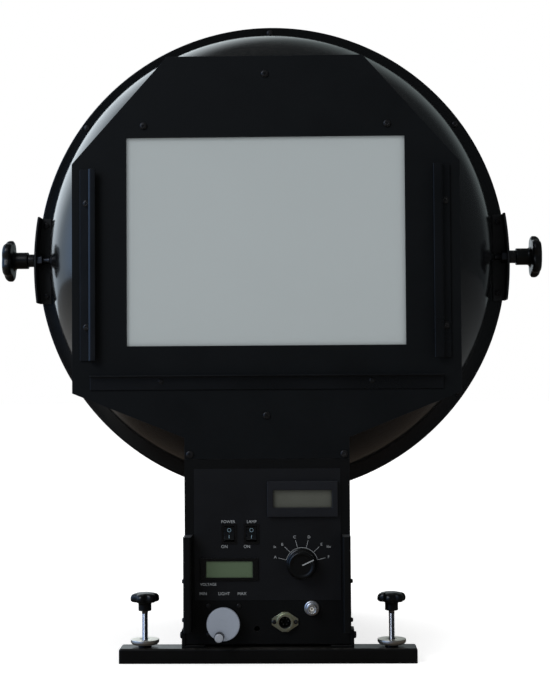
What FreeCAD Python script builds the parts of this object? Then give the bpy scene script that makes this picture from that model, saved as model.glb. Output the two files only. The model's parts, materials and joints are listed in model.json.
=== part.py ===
import FreeCAD, Part
import math
import os
import re

import Sketcher
from FreeCAD import Placement, Rotation, Vector

# Integrating sphere light source, in millimetres, with +Z up and the front towards -Y.
# The origin is on the floor under the centre of the sphere. The two half shells meet in
# the plane y = 0, and the chart plate stands in front of them.

doc = FreeCAD.newDocument("integrating_sphere_light_source")
sheet = doc.addObject("Spreadsheet::Sheet", "Sizes")

SIZES = {
    # sphere
    "centre_height": 420,
    "sphere_radius": 254,
    "shell_wall": 2.5,
    "flange_width": 16,
    "flange_thickness": 3,
    "flange_screw_step": 9.5,
    "seat_gap": 0.1,
    # chart plate and window
    "port_setback": 31,
    "plate_thickness": 3,
    "plate_margin": 10.5,
    "plate_rise": 187,
    "plate_top_width": 197,
    "plate_shoulder": 79,
    "plate_side_drop": 152,
    "plate_neck_drop": 197,
    "window_width": 280,
    "window_height": 210,
    "plate_screw_side": 122.5,
    "plate_screw_rise": 117,
    "plate_screw_top": 168.6,
    "plate_screw_bottom": 175,
    # port frame and opal sheet
    "port_lap": 6,
    "port_flange_width": 312,
    "port_flange_height": 272,
    "port_flange_corner": 18,
    "port_flange_thickness": 2.5,
    "duct_wall": 2,
    "duct_depth": 75,
    "opal_thickness": 3,
    "opal_clearance": 0.5,
    "tab_width": 16,
    "tab_depth": 9,
    "tab_rise": 60,
    "standoff_radius": 6,
    # chart holder
    "rail_length": 191,
    "rail_low": 300,
    "rail_sheet": 2,
    "rail_flange_width": 11.5,
    "rail_lip_width": 7,
    "rail_stand": 8,
    "slot_width": 346,
    "ledge_lap": 5,
    "ledge_height": 285,
    "ledge_flange": 12,
    "ledge_lip": 4,
    "rail_screw_margin": 34,
    # side brackets and star knobs
    "bracket_height": 99,
    "bracket_clearance": 0.6,
    "bracket_lap": 2,
    "bracket_wall": 2.5,
    "bracket_depth": 22,
    "bracket_tab": 40,
    "bracket_screw_rise": 41,
    "stud_radius": 4,
    "stud_forward": 15,
    "stud_tail": 14.5,
    "running_clearance": 0.05,
    "stud_nut_flats": 13,
    "stud_nut_thickness": 6.5,
    "side_bush_radius": 7.3,
    "side_bush_length": 7,
    "side_knob_radius": 24.2,
    "side_knob_head": 11.7,
    "side_hub_radius": 9.5,
    "side_hub_length": 16.9,
    "end_play": 0.2,
    # levelling screws
    "levelling_spacing": 246.5,
    "levelling_radius": 3,
    "levelling_top": 60,
    "grip_radius": 14.4,
    "grip_head": 9,
    "grip_hub_radius": 6.5,
    "grip_hub_length": 9,
    "grip_bottom": 50.5,
    "lock_nut_radius": 14.2,
    "lock_nut_thickness": 4.8,
    "lock_nut_taper": 1.2,
    "foot_radius": 8,
    "foot_thickness": 4,
    "foot_lift": 0.4,
    "foot_socket": 3,
    "foot_clearance": 1,
    # base
    "bar_length": 296,
    "bar_depth": 28,
    "bar_height": 14.7,
    "bar_overhang": 7,
    "bar_corner": 2,
    "boss_radius": 6.5,
    "boss_height": 2.5,
    "spine_width": 40,
    "rear_bar_length": 170,
    "rear_bar_depth": 28,
    # control box
    "case_width": 165,
    "case_bottom": 17,
    "case_wall": 1.5,
    "case_clearance": 3,
    "case_rear": 95,
    "seam_height": 201.5,
    "seam_gap": 0.3,
    "neck_lap": 12.5,
    "neck_screw_side": 77,
    "neck_screw_rise": 5,
    "flange_clearance": 12,
    "case_return": 9,
    "foil_width": 146,
    "foil_low": 61.5,
    "foil_high": 192,
    "foil_thickness": 0.4,
    # panel fittings, as places on the panel and sizes
    "upper_display_side": 35.3,
    "upper_display_height": 162,
    "upper_display_width": 70,
    "upper_display_tall": 35,
    "upper_glass_width": 58.5,
    "upper_glass_tall": 17.4,
    "upper_bezel_stand": 4,
    "lower_display_side": -37.9,
    "lower_display_height": 92.1,
    "lower_display_width": 57.5,
    "lower_display_tall": 22.5,
    "lower_glass_width": 46.6,
    "lower_glass_tall": 16.3,
    "lower_bezel_stand": 1.5,
    "bezel_lip": 1.2,
    "glass_thickness": 2.5,
    "rocker_width": 9.8,
    "rocker_reach": 7.1,
    "rocker_height": 127.4,
    "rocker_left_side": -38,
    "rocker_right_side": -15.7,
    "rocker_tilt": 10,
    "rocker_pivot_depth": 1,
    "rocker_opening_play": 0.3,
    "rocker_pin_radius": 1,
    "switch_wall": 1.2,
    "switch_rim": 1,
    "switch_rim_stand": 1,
    "switch_depth": 18,
    "selector_side": 34.3,
    "selector_height": 97.5,
    "selector_radius": 15.5,
    "selector_length": 15,
    "selector_skirt": 3,
    "selector_body_radius": 14,
    "selector_body_depth": 20,
    "shaft_radius": 3,
    "shaft_bush_radius": 4.7,
    "shaft_bush_stand": 4,
    "knob_gap": 0.4,
    "knob_hollow_play": 0.6,
    "pointer_angle": 24.8,
    "pointer_width": 1,
    "pointer_depth": 0.5,
    "dial_side": -43.9,
    "dial_height": 39.35,
    "dial_radius": 16.5,
    "dial_thickness": 6,
    "dial_stand": 6,
    "dial_body_radius": 11,
    "dial_body_depth": 22,
    "crank_reach": 11.9,
    "crank_radius": 4.9,
    "crank_length": 12,
    "crank_angle": 253,
    "crank_pin_radius": 2,
    "dial_screw_side": 15.2,
    "dial_screw_top": 55.9,
    "dial_screw_low": 28.2,
    "panel_screw_shank": 1.2,
    "panel_screw_head": 2.2,
    "panel_screw_length": 3,
    "socket_side": 17.1,
    "socket_height": 40.2,
    "socket_radius": 7.2,
    "socket_flange_width": 26,
    "socket_flange_tall": 19.6,
    "socket_ear_radius": 3,
    "socket_ear_side": 10.7,
    "socket_thickness": 1.6,
    "socket_collar": 4.4,
    "socket_collar_radius": 8,
    "socket_wall": 1.2,
    "socket_pin_radius": 0.6,
    "socket_depth": 14,
    "jack_side": 43.8,
    "jack_height": 53.6,
    "jack_nut_radius": 7.5,
    "jack_nut_thickness": 2.5,
    "jack_barrel_radius": 4.8,
    "jack_length": 9,
    "jack_contact_radius": 0.5,
    "trimmer_side": -10.8,
    "trimmer_height": 33.3,
    "trimmer_radius": 2.7,
    # guards and foot brackets
    "guard_width": 7.8,
    "guard_inset": 0.2,
    "guard_low": 33,
    "guard_high": 126.5,
    "guard_stand": 24,
    "guard_corner": 2,
    "guard_screw_high": 82,
    "guard_screw_low": 44,
    "guard_screw_shank": 1.5,
    "guard_screw_head": 2.15,
    "guard_screw_tall": 2.2,
    "bracket_sheet": 3.2,
    "bracket_leg_height": 18,
    "bracket_leg_width": 20,
    "bracket_leg_depth": 20,
    "bracket_overhang": 2,
    "foot_screw_height": 26,
    "foot_screw_head": 3.5,
    "foot_screw_tall": 2.5,
    # cradle
    "cradle_width": 140,
    "cradle_half_length": 62,
    "cradle_sheet": 3,
    "cradle_rise": 50,
    # inside
    "sensor_radius": 10,
    "sensor_nose_radius": 5.8,
    "sensor_hole_radius": 6,
    "sensor_side": 30,
    "sensor_tail": 12,
    "lamp_angle": 65,
    "lamp_radius": 6,
    "lamp_length": 34,
    "holder_radius": 14,
    "holder_length": 18,
    "shield_radius": 24,
    "shield_length": 62,
    "shield_wall": 1.2,
    "transformer_width": 70,
    "transformer_depth": 56,
    "transformer_tall": 60,
    "board_width": 120,
    "board_depth": 100,
    "board_thickness": 1.6,
    "board_stand": 8,
    "board_post_radius": 3,
    "board_post_inset": 6,
    "capacitor_radius": 8,
    # rear fittings
    "inlet_side": -45,
    "inlet_height": 60,
    "inlet_width": 28,
    "inlet_tall": 20.5,
    "inlet_flange_width": 50,
    "inlet_flange_tall": 23,
    "inlet_depth": 20,
    "inlet_wall": 3,
    "inlet_pin_width": 2,
    "inlet_pin_tall": 4,
    "inlet_pin_side": 7,
    "inlet_pin_drop": 1.5,
    "inlet_earth_rise": 2,
    "vent_width": 46,
    "vent_tall": 4,
    "vent_step": 9,
    "vent_count": 7,
    # fasteners
    "screw_radius": 2,
    "screw_head_radius": 3.6,
    "screw_head_height": 2.2,
    "screw_length": 8,
    "screw_end": 1,
    "flange_nut_flats": 7,
    "flange_nut_thickness": 3.2,
}

# These sizes follow from the ones above, so their cells hold formulas.
DERIVED = {
    "flange_radius": "=sphere_radius + flange_width",
    "flange_screw_circle": "=sphere_radius + flange_screw_step",
    "plate_distance": "=sphere_radius - port_setback",
    "plate_width": "=slot_width + 2 * (rail_flange_width + plate_margin)",
    "ledge_width": "=slot_width + 2 * ledge_lap",
    "bracket_inner": "=sphere_radius + bracket_clearance",
    "bracket_outer": "=sphere_radius + flange_width + bracket_lap",
}

CELLS = {**SIZES, **DERIVED}
for row, (alias, value) in enumerate(CELLS.items(), start=1):
    sheet.set(f"A{row}", alias.replace("_", " "))
    sheet.set(f"B{row}", str(value))
    sheet.setAlias(f"B{row}", alias)
doc.recompute()

ALIAS = re.compile(r"[a-z_]+")
LABELS = []


def size(alias):
    return float(sheet.get(alias))


# An expression is written with the plain aliases, which are completed here.
def expression(text):
    return ALIAS.sub(lambda word: "Sizes." + word.group() if word.group() in CELLS else word.group(), str(text))


def bind(owner, name, text):
    owner.setExpression(name, expression(text))


def place(piece, x="0", y="0", z="0", turn=None):
    if turn is not None:
        piece.Placement = Placement(Vector(), turn)
    for axis, text in zip("xyz", (x, y, z)):
        bind(piece, "Placement.Base." + axis, text)


def new_body(label, x="0", y="0", z="0", turn=None):
    body = doc.addObject("PartDesign::Body", label)
    body.Label = label
    place(body, x, y, z, turn)
    LABELS.append(label)
    return body


def origin_plane(body, role):
    return next(item for item in body.Origin.OriginFeatures if item.Role == role)


def sketch_on(body, role, name, offset="0"):
    sketch = body.newObject("Sketcher::SketchObject", name)
    sketch.AttachmentSupport = (origin_plane(body, role), "")
    sketch.MapMode = "FlatFace"
    if offset != "0":
        bind(sketch, "AttachmentOffset.Base.z", offset)
    return sketch


def pin_point(sketch, geometry, point, x, y):
    for kind, text in (("DistanceX", x), ("DistanceY", y)):
        index = sketch.addConstraint(Sketcher.Constraint(kind, -1, 1, geometry, point, 1.0))
        bind(sketch, f"Constraints[{index}]", text)


# Each corner of a polygon is held by its two distances from the sketch's origin.
def polygon(sketch, corners):
    first = sketch.GeometryCount
    count = len(corners)
    rough = [
        Vector(10 * math.cos(2 * math.pi * index / count), 10 * math.sin(2 * math.pi * index / count), 0)
        for index in range(count)
    ]
    for index in range(count):
        sketch.addGeometry(Part.LineSegment(rough[index], rough[(index + 1) % count]), False)
    for index in range(count):
        following = first + (index + 1) % count
        sketch.addConstraint(Sketcher.Constraint("Coincident", first + index, 2, following, 1))
    for index, (x, y) in enumerate(corners):
        pin_point(sketch, first + index, 1, x, y)


def rectangle(sketch, width, tall, x="0", y="0"):
    low_x, high_x = f"({x}) - ({width}) / 2", f"({x}) + ({width}) / 2"
    low_y, high_y = f"({y}) - ({tall}) / 2", f"({y}) + ({tall}) / 2"
    polygon(sketch, [(low_x, low_y), (high_x, low_y), (high_x, high_y), (low_x, high_y)])


def circle(sketch, radius, x="0", y="0"):
    index = sketch.addGeometry(Part.Circle(Vector(1, 1, 0), Vector(0, 0, 1), 5), False)
    pin_point(sketch, index, 3, x, y)
    held = sketch.addConstraint(Sketcher.Constraint("Radius", index, 5.0))
    bind(sketch, f"Constraints[{held}]", radius)


def pad(body, sketch, length, symmetric=False, reverse=False):
    feature = body.newObject("PartDesign::Pad", sketch.Name + "_pad")
    feature.Profile = sketch
    feature.Midplane = symmetric
    feature.Reversed = reverse
    bind(feature, "Length", length)
    return feature


def pocket(body, sketch, length=None, symmetric=False, reverse=False):
    feature = body.newObject("PartDesign::Pocket", sketch.Name + "_pocket")
    feature.Profile = sketch
    feature.Midplane = symmetric
    feature.Reversed = reverse
    if length is None:
        feature.Type = "ThroughAll"
    else:
        bind(feature, "Length", length)
    return feature


def revolve(body, sketch, axis="V_Axis"):
    feature = body.newObject("PartDesign::Revolution", sketch.Name + "_turn")
    feature.Profile = sketch
    feature.ReferenceAxis = (sketch, [axis])
    feature.Angle = 360
    return feature


def repeat_round(body, feature, sketch, count, axis="N_Axis"):
    pattern = body.newObject("PartDesign::PolarPattern", feature.Name + "_pattern")
    pattern.Originals = [feature]
    pattern.Axis = (sketch, [axis])
    pattern.Angle = 360
    pattern.Occurrences = count
    body.Tip = pattern
    return pattern


def plate(label, corners, thickness, x="0", y="0", z="0"):
    body = new_body(label, x, y, z)
    sketch = sketch_on(body, "XZ_Plane", label + "_outline")
    polygon(sketch, corners)
    pad(body, sketch, thickness)
    return body


def cut_round(body, name, holes, role="XZ_Plane", offset="0", length=None, symmetric=True):
    sketch = sketch_on(body, role, name, offset)
    for radius, x, y in holes:
        circle(sketch, radius, x, y)
    return pocket(body, sketch, length, symmetric)


def cut_square(body, name, openings, role="XZ_Plane", offset="0", length=None, symmetric=True):
    sketch = sketch_on(body, role, name, offset)
    for width, tall, x, y in openings:
        rectangle(sketch, width, tall, x, y)
    return pocket(body, sketch, length, symmetric)


# A group of like solids, such as a set of screws, is one object.
def group(label, solids):
    item = doc.addObject("Part::Feature", label)
    item.Label = label
    item.Shape = Part.makeCompound(solids)
    LABELS.append(label)
    return item


def turned(solid, direction, position):
    moved = solid.copy()
    moved.Placement = Placement(position, Rotation(Vector(0, 0, 1), direction))
    return moved


# A pan-head screw stands on z = 0 with its head above and its shank below.
def pan_screw(shank=None, head=None, tall=None, length=None):
    head = head or size("screw_head_radius")
    tall = tall or size("screw_head_height") * head / size("screw_head_radius")
    crown = Part.makeCone(head, head * 0.72, tall * 0.55, Vector(0, 0, tall * 0.45))
    disc = Part.makeCylinder(head, tall * 0.45)
    stem = Part.makeCylinder(shank or size("screw_radius"), length or size("screw_length"), Vector(), Vector(0, 0, -1))
    slot = Part.makeBox(head * 1.5, head * 0.3, tall, Vector(-head * 0.75, -head * 0.15, tall * 0.6))
    return disc.fuse([crown, stem]).cut(slot).removeSplitter()


def hex_nut(flats, thickness, bore):
    corner = flats / math.sqrt(3)
    points = [Vector(corner * math.cos(math.radians(60 * k)), corner * math.sin(math.radians(60 * k)), 0)
              for k in range(7)]
    block = Part.Face(Part.makePolygon(points)).extrude(Vector(0, 0, thickness))
    return block.cut(Part.makeCylinder(bore, thickness))


# The two half shells: a dome with a flange, turned about the sphere's front-to-back axis.
def shell_sketch(body, name, side, end):
    sketch = sketch_on(body, "XY_Plane", name)
    outer, wall = size("sphere_radius"), size("shell_wall")
    inner = outer - wall
    flange, thick = size("flange_radius"), size("flange_thickness")
    cut = min(end, inner)
    rim = math.sqrt(outer ** 2 - thick ** 2)
    inner_end = Vector(math.sqrt(max(inner ** 2 - cut ** 2, 0)), side * cut, 0)
    outer_cut = cut if end < inner else outer
    outer_end = Vector(math.sqrt(max(outer ** 2 - outer_cut ** 2, 0)), side * outer_cut, 0)
    corners = [Vector(inner, 0, 0), Vector(flange, 0, 0), Vector(flange, side * thick, 0), Vector(rim, side * thick, 0)]
    return sketch, inner_end, outer_end, corners


def arc_through(sketch, start, end, radius, side):
    turn = Vector(0, 0, 1)
    angles = sorted(math.atan2(point.y, point.x) for point in (start, end))
    ring = Part.Circle(Vector(), turn, start.Length)
    index = sketch.addGeometry(Part.ArcOfCircle(ring, angles[0], angles[1]), False)
    sketch.addConstraint(Sketcher.Constraint("Coincident", index, 3, -1, 1))
    held = sketch.addConstraint(Sketcher.Constraint("Radius", index, start.Length))
    bind(sketch, f"Constraints[{held}]", radius)
    first = 1 if (start - sketch.getPoint(index, 1)).Length < 0.01 else 2
    return index, first, 3 - first


def shell_profile(body, name, side, end_text=None):
    end = size("plate_distance") if end_text else size("sphere_radius")
    sketch, inner_end, outer_end, corners = shell_sketch(body, name, side, end)
    inner_arc, inner_apex, inner_foot = arc_through(sketch, inner_end, corners[0], "sphere_radius - shell_wall", side)
    lines = [sketch.addGeometry(Part.LineSegment(corners[k], corners[k + 1]), False) for k in range(3)]
    outer_arc, outer_foot, outer_apex = arc_through(sketch, corners[3], outer_end, "sphere_radius", side)
    closing = sketch.addGeometry(Part.LineSegment(outer_end, inner_end), False)
    joins = [
        (inner_arc, inner_foot, lines[0], 1), (lines[0], 2, lines[1], 1), (lines[1], 2, lines[2], 1),
        (lines[2], 2, outer_arc, outer_foot), (outer_arc, outer_apex, closing, 1), (closing, 2, inner_arc, inner_apex),
    ]
    for join in joins:
        sketch.addConstraint(Sketcher.Constraint("Coincident", *join))
    sketch.addConstraint(Sketcher.Constraint("PointOnObject", lines[0], 1, -1))
    sketch.addConstraint(Sketcher.Constraint("PointOnObject", lines[0], 2, -1))
    sketch.addConstraint(Sketcher.Constraint("Vertical", lines[1]))
    sketch.addConstraint(Sketcher.Constraint("Horizontal", lines[2]))
    index = sketch.addConstraint(Sketcher.Constraint("DistanceX", -1, 1, lines[0], 2, corners[1].x))
    bind(sketch, f"Constraints[{index}]", "flange_radius")
    index = sketch.addConstraint(Sketcher.Constraint("DistanceY", -1, 1, lines[1], 2, side * size("flange_thickness")))
    bind(sketch, f"Constraints[{index}]", f"{side} * flange_thickness")
    if end_text:
        sketch.addConstraint(Sketcher.Constraint("Horizontal", closing))
        index = sketch.addConstraint(Sketcher.Constraint("DistanceY", -1, 1, closing, 1, outer_end.y))
        bind(sketch, f"Constraints[{index}]", end_text)
    else:
        sketch.addConstraint(Sketcher.Constraint("PointOnObject", closing, 1, -2))
        sketch.addConstraint(Sketcher.Constraint("PointOnObject", closing, 2, -2))
    return sketch


PLATE_BACK = "(plate_distance - plate_thickness)"
PORT_FACE = f"({PLATE_BACK} - port_flange_thickness)"
PORT_WIDTH = "(window_width + 2 * port_lap)"
PORT_HEIGHT = "(window_height + 2 * port_lap)"
RAIL_MIDDLE = "(slot_width / 2 + rail_sheet / 2 + rail_flange_width / 2)"
RAIL_SCREWS = ["rail_screw_margin", "(rail_length - rail_screw_margin * 0.95)"]
SCREW_ANGLES = [36, 90, 144, 216, 270, 324]


def bracket_screw_places():
    side = math.sqrt(size("flange_screw_circle") ** 2 - size("bracket_screw_rise") ** 2)
    return [(sign * side, level * size("bracket_screw_rise")) for sign in (-1, 1) for level in (-1, 1)]


def flange_screw_places():
    circle_radius = size("flange_screw_circle")
    plain = [(circle_radius * math.cos(math.radians(a)), circle_radius * math.sin(math.radians(a)))
             for a in SCREW_ANGLES]
    return plain, bracket_screw_places()


BRACKET_SCREW_SIDE = "sqrt(flange_screw_circle ^ 2 - bracket_screw_rise ^ 2)"


def flange_holes(body, name):
    holes = [
        ("screw_radius + seat_gap", f"flange_screw_circle * cos({angle})", f"flange_screw_circle * sin({angle})")
        for angle in SCREW_ANGLES
    ]
    for sign in ("-1", "1"):
        for level in ("-1", "1"):
            holes.append((
                "screw_radius + seat_gap",
                f"{sign} * {BRACKET_SCREW_SIDE}",
                f"{level} * bracket_screw_rise",
            ))
    cut_round(body, name, holes, length="4 * flange_thickness")


def front_hemisphere():
    body = new_body("front_hemisphere", z="centre_height")
    revolve(body, shell_profile(body, "front_shell", -1, f"-{PORT_FACE}"))
    sketch = sketch_on(body, "XZ_Plane", "port")
    rectangle(sketch, PORT_WIDTH, PORT_HEIGHT)
    pocket(body, sketch, "plate_distance", reverse=True)
    flange_holes(body, "front_flange_holes")


def rear_hemisphere():
    body = new_body("rear_hemisphere", z="centre_height")
    revolve(body, shell_profile(body, "rear_shell", 1))
    flange_holes(body, "rear_flange_holes")
    cut_round(body, "sensor_hole", [("sensor_hole_radius", "0", "sensor_side")], "XY_Plane",
              length="sphere_radius + shell_wall", symmetric=False)


def flange_screws():
    front = -size("flange_thickness")
    rear = size("flange_thickness")
    plain, braced = flange_screw_places()
    solids = []
    for places, face in ((plain, front), (braced, front - size("bracket_wall"))):
        length = rear - face + size("flange_nut_thickness") + size("screw_end")
        for x, z in places:
            at = Vector(x, face, size("centre_height") + z)
            solids.append(turned(pan_screw(length=length), Vector(0, -1, 0), at))
            nut = hex_nut(size("flange_nut_flats"), size("flange_nut_thickness"), size("screw_radius"))
            solids.append(turned(nut, Vector(0, 1, 0), Vector(x, rear, size("centre_height") + z)))
    group("flange_screws", solids)


def front_plate():
    half, top = "plate_width / 2", "plate_top_width / 2"
    neck = "case_width / 2"
    seam = "seam_height - centre_height + seam_gap"
    right = [(neck, seam), (neck, "-plate_neck_drop"), (half, "-plate_side_drop"), (half, "plate_shoulder"),
             (top, "plate_rise")]
    left = [("-" + x, z) for x, z in reversed(right)]
    body = plate("front_plate", right + left, "plate_thickness", y=f"-{PLATE_BACK}", z="centre_height")
    cut_square(body, "window", [("window_width", "window_height", "0", "0")], length="4 * plate_thickness")
    hole = "screw_radius + seat_gap"
    neck_screw = "seam_height - centre_height + neck_screw_rise"
    holes = [
        (hole, "plate_screw_side", "plate_screw_rise"), (hole, "-plate_screw_side", "plate_screw_rise"),
        (hole, "0", "plate_screw_top"), (hole, "0", "-plate_screw_bottom"),
        (hole, "neck_screw_side", neck_screw), (hole, "-neck_screw_side", neck_screw),
    ]
    for x in (RAIL_MIDDLE, f"-{RAIL_MIDDLE}"):
        holes += [("screw_radius", x, f"rail_low - centre_height + {z}") for z in RAIL_SCREWS]
    cut_round(body, "plate_holes", holes, length="4 * plate_thickness")


def port_frame():
    width, tall, corner = "port_flange_width / 2", "port_flange_height / 2", "port_flange_corner"
    body = new_body("port_frame", y=f"-{PORT_FACE}", z="centre_height")
    duct = sketch_on(body, "XZ_Plane", "duct_wall_outline")
    rectangle(duct, f"{PORT_WIDTH} + 2 * duct_wall", f"{PORT_HEIGHT} + 2 * duct_wall")
    pad(body, duct, "duct_depth", reverse=True)
    ball = body.newObject("PartDesign::SubtractiveSphere", "sphere_seat")
    bind(ball, "Radius", "sphere_radius + seat_gap")
    bind(ball, "Placement.Base.y", PORT_FACE)
    outline = sketch_on(body, "XZ_Plane", "port_flange")
    right = [(f"{width} - {corner}", f"-{tall}"), (width, f"-({tall} - {corner})"), (width, f"{tall} - {corner}"),
             (f"{width} - {corner}", tall)]
    polygon(outline, right + [(f"-({x})", z) for x, z in reversed(right)])
    pad(body, outline, "port_flange_thickness")
    opening = sketch_on(body, "XZ_Plane", "port_opening")
    rectangle(opening, PORT_WIDTH, PORT_HEIGHT)
    pocket(body, opening, "3 * duct_depth", symmetric=True)
    for sign in ("-1", "1"):
        for level in ("-1", "1"):
            side = "left" if sign == "-1" else "right"
            name = f"tab_{side}_{'low' if level == '-1' else 'high'}"
            tab = sketch_on(body, "XZ_Plane", name, "-(opal_thickness - port_flange_thickness + 1.5 * seat_gap)")
            rectangle(tab, "tab_depth", "tab_width", f"{sign} * ({PORT_WIDTH} / 2 - tab_depth / 2)",
                      f"{level} * tab_rise")
            pad(body, tab, "duct_wall", reverse=True)
    hole = "screw_radius"
    cut_round(body, "port_holes", [
        (hole, "plate_screw_side", "plate_screw_rise"), (hole, "-plate_screw_side", "plate_screw_rise"),
    ], length="4 * port_flange_thickness")


def opal_diffuser():
    body = new_body("opal_diffuser", y=f"-({PLATE_BACK} - opal_thickness)", z="centre_height")
    sketch = sketch_on(body, "XZ_Plane", "opal_outline")
    rectangle(sketch, f"{PORT_WIDTH} - 2 * opal_clearance", f"{PORT_HEIGHT} - 2 * opal_clearance")
    pad(body, sketch, "opal_thickness")


# Two posts between the sphere and the plate, their rear ends hollowed to the sphere.
def plate_standoffs():
    ball = Part.makeSphere(size("sphere_radius") + size("seat_gap"), Vector(0, 0, size("centre_height")))
    solids = []
    for rise in (size("plate_screw_top"), -size("plate_screw_bottom")):
        at = Vector(0, -(size("plate_distance") - size("plate_thickness")), size("centre_height") + rise)
        post = Part.makeCylinder(size("standoff_radius"), size("duct_depth"), at, Vector(0, 1, 0))
        bore = Part.makeCylinder(size("screw_radius"), size("screw_length"), at, Vector(0, 1, 0))
        solids.append(post.cut([ball, bore]))
    group("plate_standoffs", solids)


def chart_rail(label, sign):
    body = new_body(label, y="-plate_distance", z="rail_low")
    inner, outer = "slot_width / 2", "slot_width / 2 + rail_sheet"
    lip = "slot_width / 2 + rail_sheet - rail_lip_width"
    edge = "slot_width / 2 + rail_flange_width"
    section = [
        (edge, "0"), (edge, "-rail_sheet"), (outer, "-rail_sheet"), (outer, "-rail_stand"), (lip, "-rail_stand"),
        (lip, "-(rail_stand - rail_sheet)"), (inner, "-(rail_stand - rail_sheet)"), (inner, "0"),
    ]
    sketch = sketch_on(body, "XY_Plane", label + "_section")
    polygon(sketch, [(f"{sign} * ({x})", y) for x, y in section])
    pad(body, sketch, "rail_length")
    middle = f"{sign} * {RAIL_MIDDLE}"
    cut_round(body, label + "_holes", [("screw_radius + seat_gap", middle, z) for z in RAIL_SCREWS],
              length="4 * rail_sheet")


def chart_ledge():
    body = new_body("chart_ledge", y="-plate_distance", z="ledge_height")
    sketch = sketch_on(body, "YZ_Plane", "ledge_section")
    polygon(sketch, [
        ("0", "-ledge_flange"), ("-rail_sheet", "-ledge_flange"), ("-rail_sheet", "-rail_sheet"),
        ("-(rail_stand - rail_sheet)", "-rail_sheet"), ("-rail_stand", "-rail_sheet"), ("-rail_stand", "ledge_lip"),
        ("-(rail_stand - rail_sheet)", "ledge_lip"), ("-(rail_stand - rail_sheet)", "0"), ("0", "0"),
    ])
    pad(body, sketch, "ledge_width", symmetric=True)


def side_bracket(label, sign):
    turn = Rotation(Vector(0, 1, 0), 0 if sign > 0 else 180)
    body = new_body(label, y="-flange_thickness", z="centre_height", turn=turn)
    outer, half, inner = size("bracket_outer"), size("bracket_height") / 2, size("bracket_inner")
    web = outer - size("bracket_wall")
    reach = math.sqrt(outer ** 2 - half ** 2)
    web_reach = math.sqrt(web ** 2 - half ** 2)

    leg = sketch_on(body, "XZ_Plane", label + "_leg")
    low, high = Vector(reach, -half, 0), Vector(reach, half, 0)
    arc, start, end = arc_through(leg, low, high, "bracket_outer", 1)
    points = [high, Vector(inner, half, 0), Vector(inner, -half, 0), low]
    lines = [leg.addGeometry(Part.LineSegment(points[k], points[k + 1]), False) for k in range(3)]
    joins = [(arc, end, lines[0], 1), (lines[0], 2, lines[1], 1), (lines[1], 2, lines[2], 1), (lines[2], 2, arc, start)]
    for join in joins:
        leg.addConstraint(Sketcher.Constraint("Coincident", *join))
    leg.addConstraint(Sketcher.Constraint("Horizontal", lines[0]))
    leg.addConstraint(Sketcher.Constraint("Horizontal", lines[2]))
    pin_point(leg, lines[1], 1, "bracket_inner", "bracket_height / 2")
    pin_point(leg, lines[1], 2, "bracket_inner", "-bracket_height / 2")
    pad(body, leg, "bracket_wall")

    wing = sketch_on(body, "XZ_Plane", label + "_web")
    outer_arc, outer_low, outer_high = arc_through(wing, low, high, "bracket_outer", 1)
    web_low, web_high = Vector(web_reach, -half, 0), Vector(web_reach, half, 0)
    inner_arc, inner_low, inner_high = arc_through(wing, web_low, web_high, "bracket_outer - bracket_wall", 1)
    top = wing.addGeometry(Part.LineSegment(high, web_high), False)
    bottom = wing.addGeometry(Part.LineSegment(web_low, low), False)
    joins = [(outer_arc, outer_high, top, 1), (top, 2, inner_arc, inner_high),
             (inner_arc, inner_low, bottom, 1), (bottom, 2, outer_arc, outer_low)]
    for join in joins:
        wing.addConstraint(Sketcher.Constraint("Coincident", *join))
    for line, point, text in ((top, 1, "bracket_height / 2"), (bottom, 2, "-bracket_height / 2")):
        wing.addConstraint(Sketcher.Constraint("Horizontal", line))
        index = wing.addConstraint(Sketcher.Constraint("DistanceY", -1, 1, line, point, 1.0))
        bind(wing, f"Constraints[{index}]", text)
    pad(body, wing, "bracket_depth")

    slopes = sketch_on(body, "YZ_Plane", label + "_slopes")
    for level in ("-1", "1"):
        polygon(slopes, [
            ("-bracket_depth", f"{level} * bracket_tab / 2"), ("-bracket_depth", f"{level} * bracket_height / 2"),
            ("-bracket_wall", f"{level} * bracket_height / 2"),
        ])
    pocket(body, slopes, "2 * bracket_outer", symmetric=True)

    forward = "-(stud_forward - flange_thickness)"
    hole = sketch_on(body, "YZ_Plane", label + "_stud_hole")
    circle(hole, "stud_radius + running_clearance", forward, "0")
    pocket(body, hole, "bracket_outer + bracket_wall", reverse=True)
    cut_round(body, label + "_screw_holes", [
        ("screw_radius + seat_gap", BRACKET_SCREW_SIDE, "bracket_screw_rise"),
        ("screw_radius + seat_gap", BRACKET_SCREW_SIDE, "-bracket_screw_rise"),
    ], length="4 * bracket_wall")


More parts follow.
